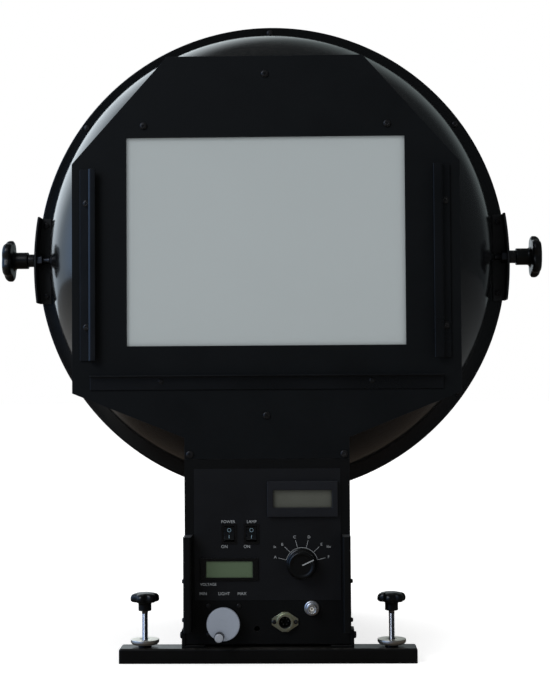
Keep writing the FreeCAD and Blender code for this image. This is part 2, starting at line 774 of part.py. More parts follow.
# A star grip: a domed head with scallops on a round hub, open below for its stud.
def star_grip(label, prefix, stud, lobes, x, y, z, turn=None):
    radius, head = f"{prefix}_radius", f"{prefix}_head"
    hub_radius = "side_hub_radius" if prefix == "side_knob" else "grip_hub_radius"
    hub = "side_hub_length" if prefix == "side_knob" else "grip_hub_length"
    body = new_body(label, x, y, z, turn)
    profile = sketch_on(body, "XZ_Plane", label + "_profile")
    rim = f"{hub} + {head} * 0.55"
    polygon(profile, [
        ("0", "0"), (f"{hub_radius} - {radius} * 0.03", "0"), (hub_radius, f"{radius} * 0.03"), (hub_radius, hub),
        (f"{radius} * 0.92", hub), (radius, f"{hub} + {head} * 0.12"), (radius, rim),
        (f"{radius} * 0.93", f"{hub} + {head} * 0.74"), (f"{radius} * 0.78", f"{hub} + {head} * 0.88"),
        (f"{radius} * 0.5", f"{hub} + {head} * 0.97"), ("0", f"{hub} + {head}"),
    ])
    revolve(body, profile)
    scallop = sketch_on(body, "XY_Plane", label + "_scallop", f"{hub} - {head} * 0.02")
    circle(scallop, f"{radius} * 0.36", f"{radius} * 1.2", "0")
    cut = pocket(body, scallop, f"2 * {head}", reverse=True)
    repeat_round(body, cut, scallop, lobes)
    bore = sketch_on(body, "XY_Plane", label + "_bore")
    circle(bore, stud)
    pocket(body, bore, f"{hub} + {head} * 0.3", reverse=True)


SIDE_BUSH_START = "(bracket_outer + end_play)"
SIDE_KNOB_START = f"({SIDE_BUSH_START} + side_bush_length + end_play)"


def cylinder(label, radius, length, x, y, z, turn=None, bore=None):
    body = new_body(label, x, y, z, turn)
    sketch = sketch_on(body, "XY_Plane", label + "_section")
    circle(sketch, radius)
    if bore:
        circle(sketch, bore)
    pad(body, sketch, length)
    return body


def side_knobs():
    for name, sign in (("left", -1), ("right", 1)):
        turn = Rotation(Vector(0, 0, 1), Vector(sign, 0, 0))
        start = f"{sign} * (bracket_outer - stud_tail - bracket_wall)"
        cylinder(f"side_stud_{name}", "stud_radius", f"{SIDE_KNOB_START} - (bracket_outer - stud_tail - bracket_wall)"
                 " + side_hub_length + side_knob_head * 0.25", start, "-stud_forward", "centre_height", turn)
        cylinder(f"side_bush_{name}", "side_bush_radius", "side_bush_length", f"{sign} * {SIDE_BUSH_START}",
                 "-stud_forward", "centre_height", turn, "stud_radius + running_clearance")
        star_grip(f"side_knob_{name}", "side_knob", "stud_radius", 5, f"{sign} * {SIDE_KNOB_START}",
                  "-stud_forward", "centre_height", turn)


def stud_nuts():
    solids = []
    for sign in (-1, 1):
        web = math.sqrt((size("bracket_outer") - size("bracket_wall")) ** 2 - (size("stud_nut_flats") * 0.6) ** 2)
        nut = hex_nut(size("stud_nut_flats"), size("stud_nut_thickness"), size("stud_radius") + size("running_clearance"))
        at = Vector(sign * web, -size("stud_forward"), size("centre_height"))
        solids.append(turned(nut, Vector(-sign, 0, 0), at))
    group("stud_nuts", solids)


def plate_screws():
    face = -size("plate_distance")
    centre = size("centre_height")
    neck = size("seam_height") + size("neck_screw_rise")
    places = [
        (size("plate_screw_side"), face, centre + size("plate_screw_rise")),
        (-size("plate_screw_side"), face, centre + size("plate_screw_rise")),
        (0, face, centre + size("plate_screw_top")), (0, face, centre - size("plate_screw_bottom")),
        (size("neck_screw_side"), face, neck), (-size("neck_screw_side"), face, neck),
    ]
    rail_middle = (size("slot_width") + size("rail_sheet") + size("rail_flange_width")) / 2
    for sign in (-1, 1):
        for z in (size("rail_screw_margin"), size("rail_length") - size("rail_screw_margin") * 0.95):
            places.append((sign * rail_middle, face - size("rail_sheet"), size("rail_low") + z))
    solids = []
    for x, y, z in places:
        length = size("plate_thickness") if y < face else size("plate_thickness") + size("duct_wall")
        solids.append(turned(pan_screw(length=length), Vector(0, -1, 0), Vector(x, y, z)))
    group("plate_screws", solids)


TOWER_TOP = "(seam_height + neck_lap)"
TOWER_BACK = f"sqrt((sphere_radius + case_clearance) ^ 2 - (centre_height - {TOWER_TOP}) ^ 2)"
CASE_TOP = "(centre_height - flange_radius - flange_clearance)"
COVER_TOP = "(case_bottom + case_wall)"


def enclosure():
    body = new_body("enclosure")
    outer = sketch_on(body, "YZ_Plane", "case_side")
    polygon(outer, [
        (f"-{PLATE_BACK}", COVER_TOP), ("case_rear", COVER_TOP), ("case_rear", CASE_TOP),
        (f"-{TOWER_BACK}", CASE_TOP), (f"-{TOWER_BACK}", TOWER_TOP), (f"-{PLATE_BACK}", TOWER_TOP),
    ])
    pad(body, outer, "case_width", symmetric=True)
    inner = sketch_on(body, "YZ_Plane", "case_hollow")
    polygon(inner, [
        (f"-({PLATE_BACK} - case_wall)", f"{COVER_TOP} - case_wall"), ("case_rear + case_wall", f"{COVER_TOP} - case_wall"),
        ("case_rear + case_wall", f"{CASE_TOP} - case_wall"), (f"-({TOWER_BACK} + case_wall)", f"{CASE_TOP} - case_wall"),
        (f"-({TOWER_BACK} + case_wall)", f"{TOWER_TOP} - case_wall"),
        (f"-({PLATE_BACK} - case_wall)", f"{TOWER_TOP} - case_wall"),
    ])
    pocket(body, inner, "case_width - 2 * case_wall", symmetric=True)
    front = sketch_on(body, "XZ_Plane", "case_front_opening", PLATE_BACK)
    middle = f"({COVER_TOP} + seam_height) / 2"
    rectangle(front, "case_width - 2 * case_return", f"seam_height - {COVER_TOP} - 2 * case_return", "0", middle)
    pocket(body, front, "3 * case_wall", symmetric=True)
    hole = ("screw_radius", "neck_screw_side", "seam_height + neck_screw_rise")
    mirrored = ("screw_radius", "-neck_screw_side", "seam_height + neck_screw_rise")
    cut_round(body, "neck_holes", [hole, mirrored], offset=PLATE_BACK, length="3 * case_wall")
    foot_hole = ("screw_radius", "bracket_leg_depth / 2 - plate_distance - bracket_overhang", "foot_screw_height")
    cut_round(body, "foot_holes", [foot_hole], "YZ_Plane", length="2 * case_width")
    cut_round(body, "sensor_passage", [("sensor_hole_radius", "0", "sensor_side")], "XY_Plane", CASE_TOP,
              "3 * case_wall")


def rear_cover():
    body = new_body("rear_cover")
    section = sketch_on(body, "YZ_Plane", "cover_section")
    polygon(section, [
        (f"-{PLATE_BACK}", "case_bottom"), ("case_rear + case_wall", "case_bottom"), ("case_rear + case_wall", CASE_TOP),
        ("case_rear", CASE_TOP), ("case_rear", COVER_TOP), (f"-{PLATE_BACK}", COVER_TOP),
    ])
    pad(body, section, "case_width", symmetric=True)
    openings = [("inlet_width", "inlet_tall", "inlet_side", "inlet_height")]
    side = "case_width / 4"
    for index in range(int(size("vent_count"))):
        openings.append(("vent_width", "vent_tall", side, f"inlet_height - inlet_tall + {index} * vent_step"))
    cut_square(body, "cover_openings", openings, offset="-case_rear", length="4 * case_wall")


# What the panel carries: widths and heights of its openings with their places.
def rocker_openings(margin="0"):
    width = f"rocker_width + 2 * rocker_opening_play + 2 * switch_wall + 2 * ({margin})"
    tall = f"2 * (rocker_reach + 2 * rocker_opening_play + switch_wall) + 2 * ({margin})"
    return [(width, tall, "rocker_left_side", "rocker_height"), (width, tall, "rocker_right_side", "rocker_height")]


def display_openings():
    upper = ("upper_glass_width + 4 * bezel_lip", "upper_glass_tall + 4 * bezel_lip", "upper_display_side",
             "upper_display_height")
    lower = ("lower_glass_width + 4 * bezel_lip", "lower_glass_tall + 4 * bezel_lip", "lower_display_side",
             "lower_display_height")
    return [upper, lower]


def front_panel():
    body = new_body("front_panel", y=f"-{PLATE_BACK}")
    sketch = sketch_on(body, "XZ_Plane", "panel_outline")
    rectangle(sketch, "case_width", f"seam_height - {COVER_TOP}", "0", f"(seam_height + {COVER_TOP}) / 2")
    pad(body, sketch, "plate_thickness")
    cut_square(body, "panel_openings", display_openings() + rocker_openings(), length="4 * plate_thickness")
    cut_round(body, "panel_holes", [
        ("shaft_bush_radius", "selector_side", "selector_height"), ("shaft_bush_radius", "dial_side", "dial_height"),
        ("socket_radius", "socket_side", "socket_height"), ("jack_barrel_radius", "jack_side", "jack_height"),
        ("trimmer_radius", "trimmer_side", "trimmer_height"),
        ("panel_screw_shank", "dial_side - dial_screw_side", "dial_screw_top"),
        ("panel_screw_shank", "dial_side + dial_screw_side", "dial_screw_top"),
        ("panel_screw_shank", "dial_side - dial_screw_side", "dial_screw_low"),
        ("panel_screw_shank", "socket_side - socket_ear_side", "socket_height"),
        ("panel_screw_shank", "socket_side + socket_ear_side", "socket_height"),
    ], length="4 * plate_thickness")


def panel_foil():
    body = new_body("panel_foil", y="-plate_distance")
    sketch = sketch_on(body, "XZ_Plane", "foil_outline")
    rectangle(sketch, "foil_width", "foil_high - foil_low", "0", "(foil_high + foil_low) / 2")
    pad(body, sketch, "foil_thickness")
    cut_square(body, "foil_openings", display_openings() + rocker_openings(), length="4 * plate_thickness")
    cut_round(body, "foil_holes", [("shaft_bush_radius", "selector_side", "selector_height")],
              length="4 * plate_thickness")


FOIL_FACE = "(plate_distance + foil_thickness)"


def display(name, stand):
    x, z = f"{name}_display_side", f"{name}_display_height"
    bezel = new_body(f"display_bezel_{name}", x, f"-{FOIL_FACE}", z)
    rim = sketch_on(bezel, "XZ_Plane", name + "_rim")
    rectangle(rim, f"{name}_display_width", f"{name}_display_tall")
    rectangle(rim, f"{name}_glass_width", f"{name}_glass_tall")
    pad(bezel, rim, stand)
    collar = sketch_on(bezel, "XZ_Plane", name + "_collar")
    rectangle(collar, f"{name}_glass_width + 4 * bezel_lip", f"{name}_glass_tall + 4 * bezel_lip")
    rectangle(collar, f"{name}_glass_width + 2 * bezel_lip", f"{name}_glass_tall + 2 * bezel_lip")
    pad(bezel, collar, "plate_thickness + foil_thickness", reverse=True)
    glass = new_body(f"display_glass_{name}", x, f"-{FOIL_FACE} + glass_thickness", z)
    pane = sketch_on(glass, "XZ_Plane", name + "_pane")
    rectangle(pane, f"{name}_glass_width + 2 * bezel_lip", f"{name}_glass_tall + 2 * bezel_lip")
    pad(glass, pane, "glass_thickness")


def switch_frames():
    reach = size("rocker_reach") + 2 * size("rocker_opening_play")
    inside = Vector(size("rocker_width") + 2 * size("rocker_opening_play"), 0, 2 * reach)
    wall, rim = size("switch_wall"), size("switch_rim")
    face = -(size("plate_distance") + size("foil_thickness"))
    stand, depth = size("switch_rim_stand"), size("switch_depth")
    solids = []

    def block(width, tall, front, rear, x):
        corner = Vector(x - width / 2, front, size("rocker_height") - tall / 2)
        return Part.makeBox(width, rear - front, tall, corner)

    for side in ("rocker_left_side", "rocker_right_side"):
        x = size(side)
        body = block(inside.x + 2 * wall, inside.z + 2 * wall, face, face + depth, x)
        flange = block(inside.x + 2 * (wall + rim), inside.z + 2 * (wall + rim), face - stand, face, x)
        cavity = block(inside.x, inside.z, face - stand, face + depth - wall, x)
        pivot = Vector(x - inside.x, -size("plate_distance") + size("rocker_pivot_depth"), size("rocker_height"))
        pins = Part.makeCylinder(size("rocker_pin_radius") + size("running_clearance"), 2 * inside.x, pivot,
                                 Vector(1, 0, 0))
        solids.append(body.fuse(flange).cut([cavity, pins]).removeSplitter())
    group("switch_frames", solids)


# A rocker with a dished face, pressed in at its top, on two short pins.
def rocker(name):
    body = new_body(f"rocker_{name}", f"rocker_{name}_side", "-plate_distance + rocker_pivot_depth", "rocker_height",
                    Rotation(Vector(1, 0, 0), -size("rocker_tilt")))
    section = sketch_on(body, "YZ_Plane", name + "_rocker_section")
    half = [
        ("-rocker_reach * 0.52", "rocker_reach * 0.92"), ("0", "rocker_reach"),
        ("rocker_reach * 0.45", "rocker_reach * 0.85"),
    ]
    lower = [(y, f"-{z}") for y, z in reversed(half)]
    polygon(section, half + lower + [("-rocker_reach * 0.32", "0")])
    pad(body, section, "rocker_width", symmetric=True)
    pins = sketch_on(body, "YZ_Plane", name + "_rocker_pins")
    circle(pins, "rocker_pin_radius")
    pad(body, pins, "rocker_width + 2 * rocker_opening_play + 1.6 * switch_wall", symmetric=True)


def shaft_control(label, side, height, radius, depth):
    body = new_body(label, side, f"-{PLATE_BACK}", height)
    can = sketch_on(body, "XZ_Plane", label + "_can")
    circle(can, radius)
    pad(body, can, depth, reverse=True)
    neck = sketch_on(body, "XZ_Plane", label + "_bush")
    circle(neck, "shaft_bush_radius")
    pad(body, neck, "plate_thickness + foil_thickness + shaft_bush_stand")
    bore = sketch_on(body, "XZ_Plane", label + "_bore")
    circle(bore, "shaft_radius + running_clearance")
    pocket(body, bore, "1.2 * selector_body_depth", symmetric=True)
    reach = sketch_on(body, "XZ_Plane", label + "_front_bore")
    circle(reach, "shaft_radius + running_clearance")
    pocket(body, reach, reverse=True)


def selector():
    shaft_control("selector_switch", "selector_side", "selector_height", "selector_body_radius",
                  "selector_body_depth")
    turn = Rotation(Vector(0, 0, 1), Vector(0, -1, 0))
    back = f"-({PLATE_BACK} - selector_body_depth * 0.5)"
    cylinder("selector_shaft", "shaft_radius",
             f"{FOIL_FACE} + selector_length * 0.8 - ({PLATE_BACK} - selector_body_depth * 0.5)",
             "selector_side", back, "selector_height", turn)
    body = new_body("selector_knob", "selector_side", f"-({FOIL_FACE} + knob_gap)", "selector_height")
    profile = sketch_on(body, "XY_Plane", "selector_profile")
    polygon(profile, [
        ("0", "0"), ("selector_radius", "0"), ("selector_radius", "-selector_skirt"),
        ("selector_radius * 0.93", "-selector_skirt * 1.2"), ("selector_radius * 0.88", "-selector_length * 0.9"),
        ("selector_radius * 0.82", "-selector_length"), ("0", "-selector_length"),
    ])
    revolve(body, profile)
    groove = sketch_on(body, "XZ_Plane", "pointer_groove", "selector_length")
    angle = "pointer_angle"
    start, end, half = "selector_radius * 0.05", "selector_radius * 0.8", "pointer_width / 2"
    polygon(groove, [
        (f"{start} * cos({angle}) + {half} * sin({angle})", f"{start} * sin({angle}) - {half} * cos({angle})"),
        (f"{end} * cos({angle}) + {half} * sin({angle})", f"{end} * sin({angle}) - {half} * cos({angle})"),
        (f"{end} * cos({angle}) - {half} * sin({angle})", f"{end} * sin({angle}) + {half} * cos({angle})"),
        (f"{start} * cos({angle}) - {half} * sin({angle})", f"{start} * sin({angle}) + {half} * cos({angle})"),
    ])
    pocket(body, groove, "pointer_depth")
    hollow = sketch_on(body, "XZ_Plane", "selector_hollow")
    circle(hollow, "shaft_bush_radius + knob_hollow_play")
    pocket(body, hollow, "shaft_bush_stand + knob_gap", reverse=True)
    bore = sketch_on(body, "XZ_Plane", "selector_bore")
    circle(bore, "shaft_radius")
    pocket(body, bore, "selector_length * 0.8 - knob_gap", reverse=True)


def crank():
    shaft_control("dial_potentiometer", "dial_side", "dial_height", "dial_body_radius", "dial_body_depth")
    turn = Rotation(Vector(0, 0, 1), Vector(0, -1, 0))
    back = f"-({PLATE_BACK} - dial_body_depth * 0.5)"
    front = f"({FOIL_FACE} + dial_stand + dial_thickness * 0.7)"
    cylinder("dial_shaft", "shaft_radius", f"{front} - ({PLATE_BACK} - dial_body_depth * 0.5)", "dial_side", back,
             "dial_height", turn)
    body = new_body("crank_dial", "dial_side", f"-({FOIL_FACE} + dial_stand)", "dial_height")
    profile = sketch_on(body, "XY_Plane", "dial_profile")
    polygon(profile, [
        ("0", "0"), ("dial_radius * 0.94", "0"), ("dial_radius", "-dial_thickness * 0.2"),
        ("dial_radius", "-dial_thickness * 0.85"), ("dial_radius * 0.96", "-dial_thickness"), ("0", "-dial_thickness"),
    ])
    revolve(body, profile)
    bore = sketch_on(body, "XZ_Plane", "dial_bore")
    circle(bore, "shaft_radius")
    pocket(body, bore, "dial_thickness * 0.7", reverse=True)
    x, z = "crank_reach * cos(crank_angle)", "crank_reach * sin(crank_angle)"
    pin = sketch_on(body, "XZ_Plane", "crank_pin", "dial_thickness")
    circle(pin, "crank_pin_radius", x, z)
    pad(body, pin, "crank_length * 0.7")
    handle = new_body("crank_handle", f"dial_side + {x}", f"-({FOIL_FACE} + dial_stand + dial_thickness + end_play)",
                      f"dial_height + {z}")
    section = sketch_on(handle, "XY_Plane", "handle_profile")
    polygon(section, [
        ("0", "0"), ("crank_radius * 0.86", "0"), ("crank_radius * 0.8", "-crank_length * 0.45"),
        ("crank_radius", "-crank_length * 0.8"), ("crank_radius", "-crank_length * 0.94"),
        ("crank_radius * 0.86", "-crank_length"), ("0", "-crank_length"),
    ])
    revolve(handle, section)
    hollow = sketch_on(handle, "XZ_Plane", "handle_bore")
    circle(hollow, "crank_pin_radius + running_clearance")
    pocket(handle, hollow, "crank_length * 0.75", reverse=True)


def round_socket():
    body = new_body("round_socket", "socket_side", "-plate_distance", "socket_height")
    flange = sketch_on(body, "XZ_Plane", "socket_flange")
    wide, tall, blunt = "socket_flange_width / 2", "socket_flange_tall / 2", "socket_ear_radius"
    polygon(flange, [
        (wide, f"-{blunt}"), (wide, blunt), (blunt, tall), (f"-{blunt}", tall), (f"-{wide}", blunt),
        (f"-{wide}", f"-{blunt}"), (f"-{blunt}", f"-{tall}"), (blunt, f"-{tall}"),
    ])
    pad(body, flange, "socket_thickness")
    collar = sketch_on(body, "XZ_Plane", "socket_collar_ring")
    circle(collar, "socket_collar_radius")
    pad(body, collar, "socket_thickness + socket_collar")
    barrel = sketch_on(body, "XZ_Plane", "socket_barrel")
    circle(barrel, "socket_radius")
    pad(body, barrel, "socket_depth", reverse=True)
    well = sketch_on(body, "XZ_Plane", "socket_well", "socket_thickness + socket_collar")
    circle(well, "socket_radius - socket_wall")
    pocket(body, well, "socket_thickness + socket_collar + socket_depth * 0.6")
    pins = sketch_on(body, "XZ_Plane", "socket_pins", "-socket_depth * 0.8")
    for angle in range(0, 360, 60):
        circle(pins, "socket_pin_radius", f"socket_radius * 0.45 * cos({angle})",
               f"socket_radius * 0.45 * sin({angle})")
    pad(body, pins, "socket_depth * 0.7")
    ear_hole = "panel_screw_shank + seat_gap"
    cut_round(body, "socket_ear_holes", [(ear_hole, "socket_ear_side", "0"), (ear_hole, "-socket_ear_side", "0")],
              length="3 * socket_thickness")


def coax_jack():
    body = new_body("coax_jack", "jack_side", "-plate_distance", "jack_height")
    profile = sketch_on(body, "XY_Plane", "jack_profile")
    polygon(profile, [
        ("jack_barrel_radius * 0.74", "plate_thickness * 2"), ("jack_barrel_radius", "plate_thickness * 2"),
        ("jack_barrel_radius", "0"), ("jack_nut_radius", "0"), ("jack_nut_radius", "-jack_nut_thickness * 0.8"),
        ("jack_nut_radius * 0.93", "-jack_nut_thickness"), ("jack_barrel_radius", "-jack_nut_thickness"),
        ("jack_barrel_radius", "-jack_length"), ("jack_barrel_radius * 0.86", "-jack_length"),
        ("jack_barrel_radius * 0.74", "-jack_length * 0.9"),
    ])
    revolve(body, profile)
    core = sketch_on(body, "XY_Plane", "jack_core")
    polygon(core, [
        ("jack_contact_radius", "plate_thickness * 2"), ("jack_barrel_radius * 0.75", "plate_thickness * 2"),
        ("jack_barrel_radius * 0.75", "0"), ("jack_barrel_radius * 0.45", "0"),
        ("jack_barrel_radius * 0.45", "-jack_length * 0.7"), ("jack_contact_radius", "-jack_length * 0.7"),
    ])
    revolve(body, core)


def panel_guards():
    solids = []
    corner = size("guard_corner")
    for sign in (-1, 1):
        outer = size("case_width") / 2 - size("guard_inset")
        low_x = outer - size("guard_width") if sign > 0 else -outer
        block = Part.makeBox(size("guard_width"), size("guard_stand"), size("guard_high") - size("guard_low"),
                             Vector(low_x, -size("plate_distance") - size("guard_stand"), size("guard_low")))
        front = -size("plate_distance") - size("guard_stand")
        edges = [edge for edge in block.Edges
                 if all(abs(vertex.Point.y - front) < 1e-6 for vertex in edge.Vertexes)
                 and abs(edge.Vertexes[0].Point.z - edge.Vertexes[1].Point.z) > 1]
        solid = block.makeFillet(corner, edges)
        holes = [
            Part.makeCylinder(size("guard_screw_shank"), size("screw_length") * 0.8,
                              Vector(sign * outer, front + size("guard_stand") / 2, z), Vector(-sign, 0, 0))
            for z in (size("guard_screw_high"), size("guard_screw_low"))
        ]
        solids.append(solid.cut(holes))
    group("panel_guards", solids)


def foot_brackets():
    solids = []
    outer = size("case_width") / 2
    sheet_wall = size("bracket_sheet")
    low, top = size("bar_height"), size("bar_height") + size("bracket_leg_height")
    gap = size("case_bottom") - size("bar_height")
    for sign in (-1, 1):
        x = [sign * (outer + sheet_wall), sign * outer, sign * (outer - size("bracket_leg_width"))]
        points = [(x[0], low), (x[0], top), (x[1], top), (x[1], low + gap), (x[2], low + gap), (x[2], low), (x[0], low)]
        front = -(size("plate_distance") + size("bracket_overhang"))
        wire = Part.makePolygon([Vector(px, front, pz) for px, pz in points])
        solid = Part.Face(wire).extrude(Vector(0, size("bracket_leg_depth"), 0))
        hole = Part.makeCylinder(size("screw_radius"), 4 * sheet_wall,
                                 Vector(sign * (outer - sheet_wall), front + size("bracket_leg_depth") / 2,
                                        size("foot_screw_height")), Vector(sign, 0, 0))
        solids.append(solid.cut(hole))
    group("foot_brackets", solids)


def case_screws():
    outer = size("case_width") / 2
    guard_y = -size("plate_distance") - size("guard_stand") / 2
    solids = []
    for sign in (-1, 1):
        for z in (size("guard_screw_high"), size("guard_screw_low")):
            screw = pan_screw(size("guard_screw_shank"), size("guard_screw_head"), size("guard_screw_tall"),
                              size("screw_length") * 0.7)
            solids.append(turned(screw, Vector(sign, 0, 0), Vector(sign * (outer - size("guard_inset")), guard_y, z)))
        at = Vector(sign * (outer + size("bracket_sheet")),
                    -(size("plate_distance") + size("bracket_overhang")) + size("bracket_leg_depth") / 2,
                    size("foot_screw_height"))
        length = size("bracket_sheet") + size("case_wall")
        screw = pan_screw(head=size("foot_screw_head"), tall=size("foot_screw_tall"), length=length)
        solids.append(turned(screw, Vector(sign, 0, 0), at))
    small = pan_screw(size("panel_screw_shank"), size("panel_screw_head"), length=size("panel_screw_length"))
    face = -size("plate_distance")
    places = [
        Vector(size("dial_side") + side * size("dial_screw_side"), face, size(z))
        for side, z in ((-1, "dial_screw_top"), (1, "dial_screw_top"), (-1, "dial_screw_low"))
    ]
    for side in (-1, 1):
        x = size("socket_side") + side * size("socket_ear_side")
        places.append(Vector(x, face - size("socket_thickness"), size("socket_height")))
    solids += [turned(small, Vector(0, -1, 0), at) for at in places]
    group("case_screws", solids)


def base():
    bar = new_body("front_base_bar", y=f"-(plate_distance + bar_overhang - bar_depth / 2)")
    outline = sketch_on(bar, "XY_Plane", "bar_outline")
    rectangle(outline, "bar_length", "bar_depth")
    block = pad(bar, outline, "bar_height")
    doc.recompute()
    corners = [f"Edge{index + 1}" for index, edge in enumerate(block.Shape.Edges)
               if max(vertex.Point.z for vertex in edge.Vertexes) > 1]
    fillet = bar.newObject("PartDesign::Fillet", "bar_corners")
    fillet.Base = (block, corners)
    bind(fillet, "Radius", "bar_corner")
    bosses = sketch_on(bar, "XY_Plane", "bar_bosses", "bar_height")
    for sign in ("-1", "1"):
        circle(bosses, "boss_radius", f"{sign} * levelling_spacing / 2", "0")
    pad(bar, bosses, "boss_height")
    bores = [("levelling_radius + running_clearance", f"{sign} * levelling_spacing / 2", "0") for sign in ("-1", "1")]
    cut_round(bar, "levelling_bores", bores, "XY_Plane")
    wells = sketch_on(bar, "XY_Plane", "foot_wells")
    for sign in ("-1", "1"):
        circle(wells, "foot_radius + foot_clearance", f"{sign} * levelling_spacing / 2", "0")
    pocket(bar, wells, "foot_lift + foot_thickness + foot_clearance", reverse=True)

    foot = new_body("rear_foot")
    shape = sketch_on(foot, "XY_Plane", "rear_foot_outline")
    front = "-(plate_distance + bar_overhang - bar_depth)"
    half, wide = "spine_width / 2", "rear_bar_length / 2"
    polygon(shape, [
        (half, front), (half, "case_rear - rear_bar_depth"), (wide, "case_rear - rear_bar_depth"), (wide, "case_rear"),
        (f"-{wide}", "case_rear"), (f"-{wide}", "case_rear - rear_bar_depth"),
        (f"-{half}", "case_rear - rear_bar_depth"), (f"-{half}", front),
    ])
    pad(foot, shape, "case_bottom")


def levelling():
    y = "-(plate_distance + bar_overhang - bar_depth / 2)"
    for name, sign in (("left", -1), ("right", 1)):
        x = f"{sign} * levelling_spacing / 2"
        foot = cylinder(f"levelling_foot_{name}", "foot_radius", "foot_thickness", x, y, "foot_lift")
        socket = sketch_on(foot, "XY_Plane", f"foot_socket_{name}", "foot_thickness")
        circle(socket, "levelling_radius + running_clearance")
        pocket(foot, socket, "foot_socket")
        bottom = "foot_lift + foot_thickness - foot_socket + end_play"
        cylinder(f"levelling_screw_{name}", "levelling_radius", f"levelling_top - ({bottom})", x, y, bottom)
        star_grip(f"star_grip_{name}", "grip", "levelling_radius", 6, x, y, "grip_bottom")
        nut = new_body(f"lock_nut_{name}", x, y, "bar_height + boss_height + end_play")
        profile = sketch_on(nut, "XZ_Plane", f"lock_nut_profile_{name}")
        bore = "levelling_radius + running_clearance"
        polygon(profile, [
            (bore, "0"), ("lock_nut_radius - lock_nut_taper", "0"), ("lock_nut_radius", "lock_nut_thickness * 0.4"),
            ("lock_nut_radius", "lock_nut_thickness * 0.9"), ("lock_nut_radius * 0.97", "lock_nut_thickness"),
            (bore, "lock_nut_thickness"),
        ])
        revolve(nut, profile)


def sphere_cradle():
    body = new_body("sphere_cradle", z=CASE_TOP)
    section = sketch_on(body, "YZ_Plane", "cradle_section")
    far, near = "cradle_half_length", "(cradle_half_length - cradle_sheet)"
    polygon(section, [
        (f"-{far}", "0"), (far, "0"), (far, "cradle_rise"), (near, "cradle_rise"), (near, "cradle_sheet"),
        (f"-{near}", "cradle_sheet"), (f"-{near}", "cradle_rise"), (f"-{far}", "cradle_rise"),
    ])
    pad(body, section, "cradle_width", symmetric=True)
    ball = body.newObject("PartDesign::SubtractiveSphere", "cradle_seat")
    bind(ball, "Radius", "sphere_radius + seat_gap")
    bind(ball, "Placement.Base.z", f"centre_height - {CASE_TOP}")
    cut_round(body, "cradle_sensor_hole", [("sensor_radius + seat_gap", "0", "sensor_side")], "XY_Plane",
              length="3 * cradle_sheet")


def mains_inlet():
    body = new_body("mains_inlet", "inlet_side", "case_rear + case_wall", "inlet_height")
    flange = sketch_on(body, "XZ_Plane", "inlet_flange")
    wide, tall, corner = "inlet_flange_width / 2", "inlet_flange_tall / 2", "inlet_flange_tall / 4"
    right = [(f"{wide} - {corner}", f"-{tall}"), (wide, f"-{corner}"), (wide, corner), (f"{wide} - {corner}", tall)]
    polygon(flange, right + [(f"-({x})", z) for x, z in reversed(right)])
    pad(body, flange, "case_wall * 1.5", reverse=True)
    box = sketch_on(body, "XZ_Plane", "inlet_box")
    rectangle(box, "inlet_width - 2 * seat_gap", "inlet_tall - 2 * seat_gap")
    pad(body, box, "inlet_depth")
    well = sketch_on(body, "XZ_Plane", "inlet_well", "-case_wall * 1.5")
    rectangle(well, "inlet_width - 2 * inlet_wall", "inlet_tall - 2 * inlet_wall")
    pocket(body, well, "inlet_depth * 0.8 + case_wall * 1.5", reverse=False)
    pins = sketch_on(body, "XZ_Plane", "inlet_pins", "inlet_depth * 0.75")
    for x, z in (("-inlet_pin_side", "-inlet_pin_drop"), ("inlet_pin_side", "-inlet_pin_drop"),
                 ("0", "inlet_earth_rise")):
        rectangle(pins, "inlet_pin_width", "inlet_pin_tall", x, z)
    pad(body, pins, "inlet_depth * 0.65", reverse=True)


